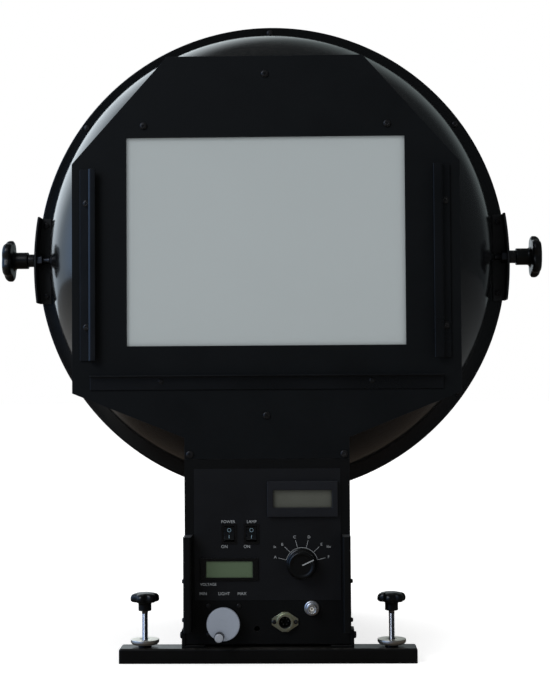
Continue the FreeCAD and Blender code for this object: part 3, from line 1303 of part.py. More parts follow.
def inner_pieces():
    centre = Vector(0, 0, size("centre_height"))
    inner = size("sphere_radius") - size("shell_wall")
    sag = inner - math.sqrt(inner ** 2 - size("holder_radius") ** 2)
    angle = math.radians(size("lamp_angle"))
    lamps, holders = [], []
    for phi in (45, 135, 225, 315):
        outward = Vector(math.sin(angle) * math.cos(math.radians(phi)), -math.cos(angle),
                         math.sin(angle) * math.sin(math.radians(phi)))
        start = centre + outward * (inner - sag - size("seat_gap"))
        # built along +Z from the shell inwards, with the shield on the window's side
        base_disc = Part.makeCylinder(size("holder_radius"), size("holder_length"))
        rim = Part.makeCylinder(size("shield_radius"), size("shield_wall"), Vector(0, 0, size("holder_length") * 0.6))
        tube = Part.makeCylinder(size("shield_radius"), size("shield_length"), Vector(0, 0, size("holder_length") * 0.6))
        tube = tube.cut(Part.makeCylinder(size("shield_radius") - size("shield_wall"), size("shield_length"),
                                          Vector(0, 0, size("holder_length") * 0.6 + size("shield_wall"))))
        window_side = Part.makeBox(2 * size("shield_radius"), 4 * size("shield_radius"), 2 * size("shield_length"),
                                   Vector(size("shield_radius") * 0.4, -2 * size("shield_radius"), 0))
        socket = Part.makeCylinder(size("lamp_radius") * 0.5, size("holder_length"),
                                   Vector(0, 0, size("holder_length") * 0.7))
        shield = tube.common(window_side).fuse(rim)
        holder = base_disc.fuse(shield).cut(socket).removeSplitter()
        stem = Part.makeCylinder(size("lamp_radius") * 0.5, size("holder_length") * 0.3,
                                 Vector(0, 0, size("holder_length") * 0.7))
        bulb = Part.makeCylinder(size("lamp_radius"), size("lamp_length"), Vector(0, 0, size("holder_length")))
        tip = Part.makeSphere(size("lamp_radius"), Vector(0, 0, size("holder_length") + size("lamp_length")))
        lamp = bulb.fuse([stem, tip]).removeSplitter()
        inward = outward * -1
        front = Vector(0, -1, 0)
        sideways = (front - inward * front.dot(inward)).normalize()
        turn = Rotation(sideways, inward.cross(sideways), inward, "ZXY")
        for solid, kept in ((holder, holders), (lamp, lamps)):
            solid.Placement = Placement(start, turn)
            kept.append(solid)
    group("lamp_holders", holders)
    group("lamps", lamps)

    case_top = size("centre_height") - size("flange_radius") - size("flange_clearance")
    at = Vector(0, size("sensor_side"), case_top)
    ball = Part.makeSphere(size("sphere_radius") + size("seat_gap"), centre)
    hollow = Part.makeSphere(inner, centre)
    can = Part.makeCylinder(size("sensor_radius"), size("cradle_rise"), at).cut(ball)
    nose = Part.makeCylinder(size("sensor_nose_radius"), size("cradle_rise"), at).cut(hollow)
    tail = Part.makeCylinder(size("sensor_nose_radius"), size("sensor_tail"), at, Vector(0, 0, -1))
    sensor = doc.addObject("Part::Feature", "light_sensor")
    sensor.Label = "light_sensor"
    sensor.Shape = can.fuse([nose, tail]).removeSplitter()
    LABELS.append("light_sensor")

    floor = "case_bottom + case_wall"
    block = new_body("transformer", "case_width / 4", "-case_rear * 0.1", floor)
    core = sketch_on(block, "YZ_Plane", "core_outline")
    rectangle(core, "transformer_depth", "transformer_tall", "0", "transformer_tall / 2")
    for sign in ("-1", "1"):
        rectangle(core, "transformer_depth * 0.2", "transformer_tall * 0.6", f"{sign} * transformer_depth * 0.22",
                  "transformer_tall / 2")
    pad(block, core, "transformer_width * 0.5", symmetric=True)
    coil = sketch_on(block, "YZ_Plane", "coil_outline")
    rectangle(coil, "transformer_depth * 0.64", "transformer_tall * 0.6", "0", "transformer_tall / 2")
    pad(block, coil, "transformer_width * 0.8", symmetric=True)

    board = new_body("driver_board", "-case_width / 8", "-case_rear", f"{floor} + board_stand")
    sheet_outline = sketch_on(board, "XY_Plane", "board_outline")
    rectangle(sheet_outline, "board_width", "board_depth")
    pad(board, sheet_outline, "board_thickness")
    posts = sketch_on(board, "XY_Plane", "board_posts")
    for sign_x in ("-1", "1"):
        for sign_y in ("-1", "1"):
            circle(posts, "board_post_radius", f"{sign_x} * (board_width / 2 - board_post_inset)",
                   f"{sign_y} * (board_depth / 2 - board_post_inset)")
    pad(board, posts, "board_stand", reverse=True)
    parts = sketch_on(board, "XY_Plane", "board_parts", "board_thickness")
    rectangle(parts, "board_width * 0.3", "board_depth * 0.12", "-board_width * 0.15", "board_depth * 0.3")
    rectangle(parts, "board_width * 0.2", "board_depth * 0.25", "board_width * 0.2", "-board_depth * 0.2")
    circle(parts, "capacitor_radius", "-board_width * 0.25", "-board_depth * 0.2")
    pad(board, parts, "3 * board_stand")


front_hemisphere()
rear_hemisphere()
flange_screws()
front_plate()
port_frame()
opal_diffuser()
plate_standoffs()
plate_screws()
chart_rail("chart_rail_left", -1)
chart_rail("chart_rail_right", 1)
chart_ledge()
side_bracket("side_bracket_left", -1)
side_bracket("side_bracket_right", 1)
stud_nuts()
side_knobs()
enclosure()
front_panel()
panel_foil()
rear_cover()
display("upper", "upper_bezel_stand")
display("lower", "lower_bezel_stand")
switch_frames()
rocker("left")
rocker("right")
selector()
crank()
round_socket()
coax_jack()
panel_guards()
foot_brackets()
case_screws()
base()
levelling()
sphere_cradle()
mains_inlet()
inner_pieces()
doc.recompute()

failed = [item.Label for item in doc.Objects if {"Invalid", "Error"} & set(item.State)]
pieces = {label: next(item for item in doc.Objects if item.Label == label) for label in LABELS}
empty = [label for label, piece in pieces.items() if piece.Shape.isNull() or not piece.Shape.isValid()]
if failed or empty:
    raise RuntimeError(f"failed: {failed}, empty or not valid: {empty}")

os.makedirs("parts", exist_ok=True)
for label, piece in pieces.items():
    piece.Shape.exportStep(f"parts/{label}.step")
print(len(pieces), "pieces written")
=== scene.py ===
import json
import math

import bmesh
import bpy
from mathutils import Matrix, Vector


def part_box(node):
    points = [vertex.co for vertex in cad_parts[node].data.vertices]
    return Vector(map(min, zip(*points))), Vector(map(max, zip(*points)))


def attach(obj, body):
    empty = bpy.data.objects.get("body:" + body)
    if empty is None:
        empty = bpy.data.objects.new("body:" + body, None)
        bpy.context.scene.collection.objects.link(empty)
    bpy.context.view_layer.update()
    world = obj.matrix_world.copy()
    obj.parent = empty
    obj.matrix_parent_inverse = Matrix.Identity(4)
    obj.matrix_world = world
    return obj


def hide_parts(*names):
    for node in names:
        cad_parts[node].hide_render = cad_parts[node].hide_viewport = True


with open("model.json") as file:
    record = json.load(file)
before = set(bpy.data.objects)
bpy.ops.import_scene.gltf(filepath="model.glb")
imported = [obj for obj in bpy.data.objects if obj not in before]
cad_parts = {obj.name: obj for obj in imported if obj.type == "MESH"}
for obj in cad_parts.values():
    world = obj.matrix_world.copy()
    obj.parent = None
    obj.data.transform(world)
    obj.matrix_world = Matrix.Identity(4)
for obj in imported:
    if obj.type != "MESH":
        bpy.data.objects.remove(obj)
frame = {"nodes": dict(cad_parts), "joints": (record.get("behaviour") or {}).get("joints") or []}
nodes = frame["nodes"]
bpy.context.view_layer.update()
mm = 0.001
joints = {joint["name"]: Vector(joint.get("pos_m", (0, 0, 0))) for joint in frame["joints"]}
print("frame loaded:", len(nodes), "nodes")


# shared shader tools

def setInputs(tree, node, values):
    for key, value in values.items():
        if isinstance(value, bpy.types.NodeSocket):
            tree.links.new(value, node.inputs[key])
        else:
            node.inputs[key].default_value = value


def addNode(tree, kind, inputs=None, **settings):
    node = tree.nodes.new(kind)
    for key, value in settings.items():
        setattr(node, key, value)
    setInputs(tree, node, inputs or {})
    return node


def mathNode(tree, operation, first, second=0.0, clamp=False):
    inputs = {0: first, 1: second}
    return addNode(tree, "ShaderNodeMath", inputs, operation=operation, use_clamp=clamp).outputs[0]


def vectorNode(tree, operation, first, second=(0.0, 0.0, 0.0), result="Vector"):
    return addNode(tree, "ShaderNodeVectorMath", {0: first, 1: second}, operation=operation).outputs[result]


def noiseAt(tree, place, scale, detail, roughness=0.5, distortion=0.0):
    inputs = {"Vector": place, "Scale": scale, "Detail": detail, "Roughness": roughness,
              "Distortion": distortion}
    return addNode(tree, "ShaderNodeTexNoise", inputs).outputs["Fac"]


def ramp(tree, value, low, high, start=0.0, end=1.0, **settings):
    inputs = {0: value, 1: low, 2: high, 3: start, 4: end}
    return addNode(tree, "ShaderNodeMapRange", inputs, **settings).outputs[0]


def objectPlace(tree):
    return addNode(tree, "ShaderNodeTexCoord").outputs["Object"]


def mixColour(tree, factor, first, second, blend="MIX"):
    inputs = {0: factor, 6: first, 7: second}
    return addNode(tree, "ShaderNodeMix", inputs, data_type="RGBA", blend_type=blend).outputs[2]


def colour(red, green, blue):
    return (red, green, blue, 1.0)


def newMaterial(name):
    material = bpy.data.materials.new(name)
    material.use_nodes = True
    tree = material.node_tree
    return material, tree, tree.nodes["Principled BSDF"]


def newGroup(name, inputs, outputs):
    group = bpy.data.node_groups.new(name, "ShaderNodeTree")
    for label, value in inputs.items():
        socket = group.interface.new_socket(name=label, in_out="INPUT", socket_type="NodeSocketFloat")
        socket.default_value = value
    for label in outputs:
        group.interface.new_socket(name=label, in_out="OUTPUT", socket_type="NodeSocketFloat")
    return group, group.nodes.new("NodeGroupInput"), group.nodes.new("NodeGroupOutput")


def useGroup(tree, group, **inputs):
    return addNode(tree, "ShaderNodeGroup", inputs, node_tree=group)


# fine coating: a small, even orange-peel and a slow change of tone
def makeCoatGrain():
    sizes = {"grainSize": 0.0006, "blotchSize": 0.06}
    group, given, result = newGroup("coatGrain", sizes, ["height", "tone"])
    place = objectPlace(group)
    fine = mathNode(group, "DIVIDE", 1.0, given.outputs["grainSize"])
    slow = mathNode(group, "DIVIDE", 1.0, given.outputs["blotchSize"])
    setInputs(group, result, {"height": noiseAt(group, place, fine, 2.0, 0.6),
                              "tone": noiseAt(group, place, slow, 4.0, 0.55)})
    return group


# worn edges: where the rounded normal leaves the true one, broken up by noise
def makeEdgeWear():
    group, given, result = newGroup("edgeWear", {"radius": 0.0008, "breakUp": 90.0, "amount": 0.5}, ["mask"])
    radius = {"Radius": given.outputs["radius"]}
    rounded = addNode(group, "ShaderNodeBevel", radius, samples=4).outputs["Normal"]
    true = addNode(group, "ShaderNodeNewGeometry").outputs["Normal"]
    lean = mathNode(group, "SUBTRACT", 1.0, vectorNode(group, "DOT_PRODUCT", rounded, true, "Value"))
    edge = mathNode(group, "MULTIPLY", lean, 6.0, clamp=True)
    spots = ramp(group, noiseAt(group, objectPlace(group), given.outputs["breakUp"], 6.0), 0.42, 0.62)
    broken = mathNode(group, "MULTIPLY", edge, spots)
    worn = mathNode(group, "MULTIPLY", broken, given.outputs["amount"], clamp=True)
    setInputs(group, result, {"mask": worn})
    return group


# dust that settles on faces that look up, and the marks of hands in the gloss
def makeDustAndTouch():
    group, given, result = newGroup("dustAndTouch", {"dust": 0.3, "touch": 0.5}, ["dust", "touch"])
    normal = addNode(group, "ShaderNodeNewGeometry").outputs["Normal"]
    facing = ramp(group, addNode(group, "ShaderNodeSeparateXYZ", {0: normal}).outputs["Z"], 0.5, 1.0)
    place = objectPlace(group)
    specks = ramp(group, noiseAt(group, place, 260.0, 8.0, 0.75), 0.4, 0.75)
    veiled = mathNode(group, "MULTIPLY", specks, noiseAt(group, place, 14.0, 5.0))
    settled = mathNode(group, "MULTIPLY", veiled, facing)
    smear = ramp(group, noiseAt(group, place, 22.0, 3.0, distortion=1.2), 0.45, 0.7)
    setInputs(group, result, {"dust": mathNode(group, "MULTIPLY", settled, given.outputs["dust"], clamp=True),
                              "touch": mathNode(group, "MULTIPLY", smear, given.outputs["touch"])})
    return group


# turning marks: rings round the piece's own Z axis
def makeTurningRings():
    group, given, result = newGroup("turningRings", {"pitch": 0.0004}, ["height"])
    flat = vectorNode(group, "MULTIPLY", objectPlace(group), (1.0, 1.0, 0.0))
    radius = vectorNode(group, "LENGTH", flat, result="Value")
    turns = mathNode(group, "DIVIDE", radius, given.outputs["pitch"])
    line = addNode(group, "ShaderNodeCombineXYZ", {"X": turns}).outputs[0]
    setInputs(group, result, {"height": noiseAt(group, line, 1.0, 3.0)})
    return group


coatGrain = makeCoatGrain()
edgeWear = makeEdgeWear()
dustAndTouch = makeDustAndTouch()
turningRings = makeTurningRings()

# what a look below leaves unsaid; lengths are in mm
plainLook = {"grain": 0.6, "blotch": 60, "spread": 0.2, "speckle": 0.0, "speck": (0.5, 0.5, 0.5), "dust": 0.2,
             "dustTone": (0.42, 0.4, 0.37), "dustRough": 0.5, "touch": 0.4, "smear": 0.08, "wear": 0.5,
             "wearRadius": 0.7, "breakUp": 120.0, "roughSpread": 0.12, "metal": 0.0, "ior": 1.5, "gloss": 0.5,
             "coat": 0.0, "coatRough": 0.05, "bump": 0.15, "relief": 0.05}


# one coated, moulded or bare surface from its look: every finish below is this with its own values
def finish(name, ownLook):
    look = {**plainLook, **ownLook}
    material, tree, shader = newMaterial(name)
    grain = useGroup(tree, coatGrain, grainSize=look["grain"] * mm, blotchSize=look["blotch"] * mm)
    film = useGroup(tree, dustAndTouch, dust=look["dust"], touch=look["touch"])
    darker = colour(*(part * (1 - look["spread"]) for part in look["base"]))
    lighter = colour(*(min(1, part * (1 + look["spread"])) for part in look["base"]))
    tinted = mixColour(tree, grain.outputs["tone"], darker, lighter)
    speckle = mathNode(tree, "MULTIPLY", grain.outputs["height"], look["speckle"])
    tinted = mixColour(tree, speckle, tinted, colour(*look["speck"]))
    if "worn" in look:
        wear = useGroup(tree, edgeWear, radius=look["wearRadius"] * mm, breakUp=look["breakUp"],
                        amount=look["wear"])
        tinted = mixColour(tree, wear.outputs["mask"], tinted, colour(*look["worn"]))
    tinted = mixColour(tree, film.outputs["dust"], tinted, colour(*look["dustTone"]))
    least, most = look["rough"] * (1 - look["roughSpread"]), look["rough"] * (1 + look["roughSpread"])
    rough = ramp(tree, grain.outputs["tone"], 0.3, 0.7, least, most)
    smeared = mathNode(tree, "MULTIPLY", film.outputs["touch"], look["smear"])
    dusty = mathNode(tree, "MULTIPLY", film.outputs["dust"], look["dustRough"])
    rough = mathNode(tree, "ADD", mathNode(tree, "ADD", rough, smeared), dusty, clamp=True)
    height = grain.outputs["height"]
    if "rings" in look:
        height = useGroup(tree, turningRings, pitch=look["rings"] * mm).outputs["height"]
    bump = addNode(tree, "ShaderNodeBump", {"Height": height, "Strength": look["bump"],
                                            "Distance": look["relief"] * mm})
    setInputs(tree, shader, {
        "Base Color": tinted, "Roughness": rough, "Metallic": look["metal"], "IOR": look["ior"],
        "Specular IOR Level": look["gloss"], "Coat Weight": look["coat"], "Coat Roughness": look["coatRough"],
        "Normal": bump.outputs["Normal"]})
    return material


looks = {
    "glossShell": {"base": (0.004, 0.0045, 0.005), "rough": 0.12, "grain": 2.2, "relief": 0.05, "bump": 0.06,
                   "dust": 0.12, "touch": 0.6, "smear": 0.1, "blotch": 120},
    "whiteLining": {"base": (0.88, 0.88, 0.86), "rough": 0.85, "grain": 0.9, "relief": 0.15, "spread": 0.03},
    "sheetBlack": {"base": (0.0014, 0.0023, 0.0028), "rough": 0.56, "gloss": 0.17, "grain": 0.7,
                   "relief": 0.08, "bump": 0.3, "dust": 0.2, "speckle": 0.006, "spread": 0.28, "blotch": 45,
                   "worn": (0.03, 0.031, 0.034), "wear": 0.5},
    # the brackets' black is lighter than the sheet's: painted light that lifts the shade the web and the
    # front plate cast on them
    "litBracketBlack": {"base": (0.011, 0.0125, 0.014), "rough": 0.5, "gloss": 0.25, "grain": 0.7,
                     "relief": 0.08, "bump": 0.3, "dust": 0.15, "spread": 0.25,
                     "worn": (0.03, 0.031, 0.034), "wear": 0.3},
    "darkSteel": {"base": (0.1, 0.104, 0.115), "rough": 0.36, "metal": 1.0, "grain": 0.4, "spread": 0.15},
    "caseBlack": {"base": (0.0018, 0.002, 0.0019), "rough": 0.5, "gloss": 0.14, "grain": 0.7, "relief": 0.08,
                  "bump": 0.3, "dust": 0.25, "speckle": 0.006, "spread": 0.25, "worn": (0.03, 0.03, 0.029),
                  "wear": 0.45},
    "barBlack": {"base": (0.0022, 0.0022, 0.002), "rough": 0.34, "gloss": 0.26, "grain": 0.8, "relief": 0.05,
                 "bump": 0.15, "dust": 0.3, "speckle": 0.005, "spread": 0.25, "worn": (0.04, 0.038, 0.035),
                 "wear": 0.5},
    "railBlack": {"base": (0.0018, 0.0026, 0.0036), "rough": 0.3, "gloss": 0.48, "grain": 0.5, "relief": 0.03,
                  "bump": 0.1, "dust": 0.15, "worn": (0.02, 0.024, 0.03), "wear": 0.25, "wearRadius": 0.3},
    "screwBlack": {"base": (0.02, 0.02, 0.021), "rough": 0.3, "metal": 0.6, "grain": 0.3, "spread": 0.3,
                   "worn": (0.3, 0.3, 0.31), "wear": 0.6, "wearRadius": 0.3},
    "foilBlack": {"base": (0.0045, 0.005, 0.0062), "rough": 0.42, "gloss": 0.3, "grain": 0.25, "relief": 0.02,
                  "bump": 0.2, "spread": 0.15, "speckle": 0.004, "touch": 0.7},
    "opalSheet": {"base": (0.415, 0.46, 0.472), "rough": 0.32, "gloss": 0.4, "grain": 1.5, "relief": 0.01,
                  "bump": 0.05, "spread": 0.02, "blotch": 200, "dust": 0.0, "smear": 0.03},
    "platedSteel": {"base": (0.4, 0.42, 0.47), "rough": 0.2, "metal": 1.0, "grain": 0.4, "spread": 0.12,
                    "relief": 0.01, "bump": 0.1},
    "turnedSteel": {"base": (0.95, 0.88, 0.79), "rough": 0.36, "metal": 1.0, "rings": 0.25, "bump": 0.2,
                    "relief": 0.02, "spread": 0.1},
    "knobBlack": {"base": (0.0026, 0.0029, 0.0031), "rough": 0.3, "gloss": 0.36, "grain": 0.5, "relief": 0.03,
                  "bump": 0.15, "dust": 0.12, "touch": 0.8, "smear": 0.14, "worn": (0.02, 0.02, 0.021),
                  "wear": 0.3},
    "switchBlack": {"base": (0.0033, 0.0035, 0.0038), "rough": 0.26, "gloss": 0.4, "grain": 0.3,
                    "relief": 0.01, "bump": 0.1},
    "bezelBlue": {"base": (0.0085, 0.0095, 0.0125), "rough": 0.4, "gloss": 0.4, "grain": 0.35, "relief": 0.03,
                  "bump": 0.25, "spread": 0.12, "worn": (0.03, 0.033, 0.04), "wear": 0.4, "wearRadius": 0.5},
    "dialGrey": {"base": (0.29, 0.328, 0.395), "rough": 0.4, "grain": 0.5, "relief": 0.02, "bump": 0.15,
                 "spread": 0.06, "touch": 0.5, "dust": 0.08},
    "capPale": {"base": (0.3, 0.325, 0.37), "rough": 0.34, "grain": 0.4, "spread": 0.05},
    "socketPlate": {"base": (0.85, 0.86, 0.62), "rough": 0.3, "metal": 1.0, "grain": 0.6, "spread": 0.16,
                    "relief": 0.02, "bump": 0.2, "worn": (0.8, 0.76, 0.66), "wear": 0.6, "wearRadius": 0.4},
    "pinDull": {"base": (0.05, 0.051, 0.05), "rough": 0.5, "metal": 0.0, "grain": 0.4, "spread": 0.2},
    "contactGold": {"base": (0.6, 0.46, 0.24), "rough": 0.25, "metal": 1.0, "grain": 0.4, "spread": 0.1},
    "insulatorWhite": {"base": (0.66, 0.645, 0.6), "rough": 0.4, "grain": 0.5, "spread": 0.04},
    "jackMetal": {"base": (0.9, 0.9, 0.9), "rough": 0.36, "metal": 1.0, "rings": 0.3, "bump": 0.15,
                  "spread": 0.12},
    "bareAluminium": {"base": (0.5, 0.51, 0.52), "rough": 0.34, "metal": 1.0, "grain": 0.3, "spread": 0.08,
                      "relief": 0.02, "bump": 0.2},
    "coreSteel": {"base": (0.24, 0.23, 0.22), "rough": 0.5, "metal": 0.8, "grain": 0.8, "spread": 0.2},
    "coilTape": {"base": (0.5, 0.36, 0.08), "rough": 0.4, "grain": 0.8, "spread": 0.15},
    "boardGreen": {"base": (0.02, 0.15, 0.06), "rough": 0.35, "grain": 0.6, "spread": 0.2, "coat": 0.3},
    "chipBlack": {"base": (0.006, 0.006, 0.006), "rough": 0.5, "gloss": 0.3, "grain": 0.5},
    "gasketBlack": {"base": (0.003, 0.003, 0.003), "rough": 0.75, "gloss": 0.2, "grain": 0.6},
    "inkWhite": {"base": (0.29, 0.31, 0.325), "rough": 0.55, "grain": 0.15, "spread": 0.15, "blotch": 6},
    "inkBlue": {"base": (0.2, 0.31, 0.38), "rough": 0.5, "grain": 0.15, "spread": 0.12, "blotch": 4},
}
materials = {name: finish(name, look) for name, look in looks.items()}


# display windows: a pale field behind a clear, glossy front, with painted shade that darkens it at its border
displays = {
    "upper": {"field": (0.076, 0.08, 0.067), "fieldLight": (0.093, 0.098, 0.083),
              "shadeAndWeave": (0.016, 0.016, 0.014)},
    "lower": {"field": (0.078, 0.118, 0.068), "fieldLight": (0.096, 0.14, 0.082),
              "shadeAndWeave": (0.015, 0.019, 0.012)},
}
displayFront = {"shadeAcross": 0.9, "shadeUp": 0.78, "weave": 0.12, "weaveSize": 0.4, "cloudSize": 18,
                "rough": 0.55, "gloss": 0.2, "coat": 0.25, "coatRough": 0.08}


def displayField(level):
    look, front = displays[level], displayFront
    material, tree, shader = newMaterial(level + "Field")
    low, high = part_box("display_glass_" + level)
    centre, half = (low + high) / 2, (high - low) / 2
    inner = vectorNode(tree, "SUBTRACT", objectPlace(tree), centre)
    share = vectorNode(tree, "DIVIDE", inner, (half.x, 1.0, half.z))
    axes = addNode(tree, "ShaderNodeSeparateXYZ", {0: vectorNode(tree, "ABSOLUTE", share)})
    # painted shade: the field goes towards the shade colour near its edges, over a wider band at top and
    # bottom
    shade = mathNode(tree, "MAXIMUM", ramp(tree, axes.outputs["X"], front["shadeAcross"], 1.0),
                     ramp(tree, axes.outputs["Z"], front["shadeUp"], 1.0))
    cloud = useGroup(tree, coatGrain, grainSize=front["weaveSize"] * mm, blotchSize=front["cloudSize"] * mm)
    field = mixColour(tree, cloud.outputs["tone"], colour(*look["field"]), colour(*look["fieldLight"]))
    weave = mathNode(tree, "MULTIPLY", cloud.outputs["height"], front["weave"])
    # the fine weave also darkens towards that same colour
    field = mixColour(tree, weave, field, colour(*look["shadeAndWeave"]))
    setInputs(tree, shader, {
        "Base Color": mixColour(tree, shade, field, colour(*look["shadeAndWeave"])), "Roughness": front["rough"],
        "Specular IOR Level": front["gloss"], "Coat Weight": front["coat"],
        "Coat Roughness": front["coatRough"]})
    return material


lampGlass = {"tint": (0.92, 0.94, 0.94), "rough": 0.03, "ior": 1.46, "grain": 0.8, "blotch": 12}


def clearGlass(name, look):
    material, tree, shader = newMaterial(name)
    grain = useGroup(tree, coatGrain, grainSize=look["grain"] * mm, blotchSize=look["blotch"] * mm)
    tint = mixColour(tree, grain.outputs["tone"], colour(*look["tint"]), colour(1.0, 1.0, 1.0))
    setInputs(tree, shader, {"Base Color": tint, "Roughness": look["rough"], "IOR": look["ior"],
                             "Transmission Weight": 1.0})
    return material


for level in displays:
    materials[level + "Field"] = displayField(level)
materials["lampGlass"] = clearGlass("lampGlass", lampGlass)
print("finishes made:", len(materials))


# shared mesh tools

sides = {"left": -1, "right": 1}
# merge distance in metres, angles in degrees
meshing = {"merge": 2e-6, "flatAngle": 0.3, "sharpAngle": 40, "evenWeight": 60}


def putInScene(name, data):
    item = bpy.data.objects.new(name, data)
    bpy.context.scene.collection.objects.link(item)
    return item


def meshFrom(name, points, faces, smooth=True):
    mesh = bpy.data.meshes.new(name)
    mesh.from_pydata([tuple(point) for point in points], [], faces)
    mesh.polygons.foreach_set("use_smooth", [smooth] * len(mesh.polygons))
    mesh.update()
    return mesh


def faceOutwards(mesh):
    form = bmesh.new()
    form.from_mesh(mesh)
    bmesh.ops.recalc_face_normals(form, faces=form.faces)
    form.to_mesh(mesh)
    form.free()
    return mesh


def sharpen(mesh, angle=meshing["sharpAngle"]):
    mesh.set_sharp_from_angle(angle=math.radians(angle))
    return mesh


def finalMesh(item):
    bpy.context.view_layer.update()
    return bpy.data.meshes.new_from_object(item.evaluated_get(bpy.context.evaluated_depsgraph_get()))


def mergedForm(node):
    form = bmesh.new()
    form.from_mesh(nodes[node].data)
    bmesh.ops.remove_doubles(form, verts=form.verts, dist=meshing["merge"])
    return form


def dress(mesh, *finishes):
    mesh.materials.clear()
    for item in finishes:
        mesh.materials.append(materials[item])


def addPiece(name, mesh, body, finishes, stands=(), place=None):
    piece = putInScene(name, mesh)
    if place is not None:
        piece.matrix_world = place
    dress(mesh, *finishes)
    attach(piece, body)
    if stands:
        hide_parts(*stands)
    return piece


# a rounded copy: the node's own shape with flat faces made whole and its sharp edges rounded
def roundedCopy(node, body, finishes, width, segments=2):
    form = mergedForm(node)
    flat = math.radians(meshing["flatAngle"])
    bmesh.ops.dissolve_limit(form, angle_limit=flat, verts=form.verts, edges=form.edges)
    form.verts.index_update()
    points = [vertex.co.copy() for vertex in form.verts]
    faces = [[vertex.index for vertex in face.verts] for face in form.faces]
    form.free()
    mesh = meshFrom(node + "Rounded", points, faces)
    piece = addPiece(node + "_rounded", mesh, body, finishes, [node])
    roundEdges(piece, width, segments)
    return piece


def roundEdges(piece, width, segments=2, angle=28):
    bevel = piece.modifiers.new("roundEdges", "BEVEL")
    bevel.width = width * mm
    bevel.segments = segments
    bevel.limit_method = "ANGLE"
    bevel.angle_limit = math.radians(angle)
    bevel.miter_outer = "MITER_ARC"
    bevel.use_clamp_overlap = True
    bevel.harden_normals = True
    weighted = piece.modifiers.new("evenShade", "WEIGHTED_NORMAL")
    weighted.keep_sharp = False
    weighted.weight = meshing["evenWeight"]


# a block that cuts: each corner of a unit cube goes where the given function puts it
def cutterBlock(cornerPlace):
    form = bmesh.new()
    bmesh.ops.create_cube(form, size=1.0)
    for vertex in form.verts:
        vertex.co = cornerPlace(vertex.co)
    mesh = bpy.data.meshes.new("cutter")
    form.to_mesh(mesh)
    form.free()
    return putInScene("cutter", mesh)


def cutAway(piece, tools):
    for tool in tools:
        cut = piece.modifiers.new("cut", "BOOLEAN")
        cut.object = tool
        cut.solver = "EXACT"
    done = finalMesh(piece)
    piece.modifiers.clear()
    for tool in tools:
        bpy.data.objects.remove(tool)
    return done


# a form turned round Z from (radius, height) points in mm; lobes can pull its rings in by angle
def lathe(name, profile, steps, lobes=None):
    points, faces, rings = [], [], []
    for radius, height in profile:
        if radius == 0:
            rings.append([len(points)])
            points.append((0, 0, height * mm))
            continue
        ring = []
        for step in range(steps):
            turn = 2 * math.pi * step / steps
            reach = radius * (lobes(turn, radius, height) if lobes else 1.0)
            ring.append(len(points))
            points.append((reach * math.cos(turn) * mm, reach * math.sin(turn) * mm, height * mm))
        rings.append(ring)
    for inner, outer in zip(rings, rings[1:]):
        for step in range(steps):
            following = (step + 1) % steps
            if len(inner) == 1:
                faces.append([inner[0], outer[step], outer[following]])
            elif len(outer) == 1:
                faces.append([inner[step], outer[0], inner[following]])
            else:
                faces.append([inner[step], outer[step], outer[following], inner[following]])
    return sharpen(faceOutwards(meshFrom(name, points, faces)))


def roundedCorner(start, corner, end, reach, steps=4):
    before = (Vector(start) - Vector(corner)).normalized() * reach + Vector(corner)
    after = (Vector(end) - Vector(corner)).normalized() * reach + Vector(corner)
    arc = []
    for step in range(steps + 1):
        share = step / steps
        first, second = before.lerp(Vector(corner), share), Vector(corner).lerp(after, share)
        arc.append(tuple(first.lerp(second, share)))
    return arc


# a profile through its corners, each given as (radius, height, rounding)
def smoothProfile(corners):
    line = []
    for index, (radius, height, reach) in enumerate(corners):
        if reach == 0 or index in (0, len(corners) - 1):
            line.append((radius, height))
        else:
            before, after = corners[index - 1][:2], corners[index + 1][:2]
            line += roundedCorner(before, (radius, height), after, reach)
    return line


def turned(name, corners, steps):
    return lathe(name, smoothProfile(corners), steps)


# the same profile with points closer than the spacing, so that lobes and flutes can shape it
def denseProfile(corners, spacing):
    line = smoothProfile(corners)
    dense = [line[0]]
    for start, end in zip(line, line[1:]):
        cuts = max(1, round(math.dist(start, end) / spacing))
        dense += [(start[0] + (end[0] - start[0]) * k / cuts, start[1] + (end[1] - start[1]) * k / cuts)
                  for k in range(1, cuts + 1)]
    return dense


forwards, backwards, upwards = (0, -1, 0), (0, 1, 0), (0, 0, 1)


# a place whose own Z axis points in the given direction
def axisPlace(position, direction):
    turn = Vector(upwards).rotation_difference(Vector(direction))
    return Matrix.Translation(position) @ turn.to_matrix().to_4x4()


def joinMeshes(name, parts):
    form = bmesh.new()
    for mesh, place in parts:
        copy = mesh.copy()
        copy.transform(place)
        form.from_mesh(copy)
        bpy.data.meshes.remove(copy)
    mesh = bpy.data.meshes.new(name)
    form.to_mesh(mesh)
    form.free()
    return mesh


def paintFaces(piece, index, test):
    for face in piece.data.polygons:
        if test(face.center, face.normal):
            face.material_index = index


# the two glossy half shells with their flanges
shell = {"wall": 2.5, "flange": 3.0, "flangeFlat": 3.0, "rootFillet": 1.4, "rimRound": 0.7,
         "aroundSteps": 240, "archSteps": 64, "filletSteps": 6, "liningShare": 0.6, "portWidth": 292,
         "portHeight": 222, "portFace": 217.5, "cutFrom": 100, "cutTo": 300}
gasket = {"half": 0.12, "clear": 0.2, "rimInset": 0.9}


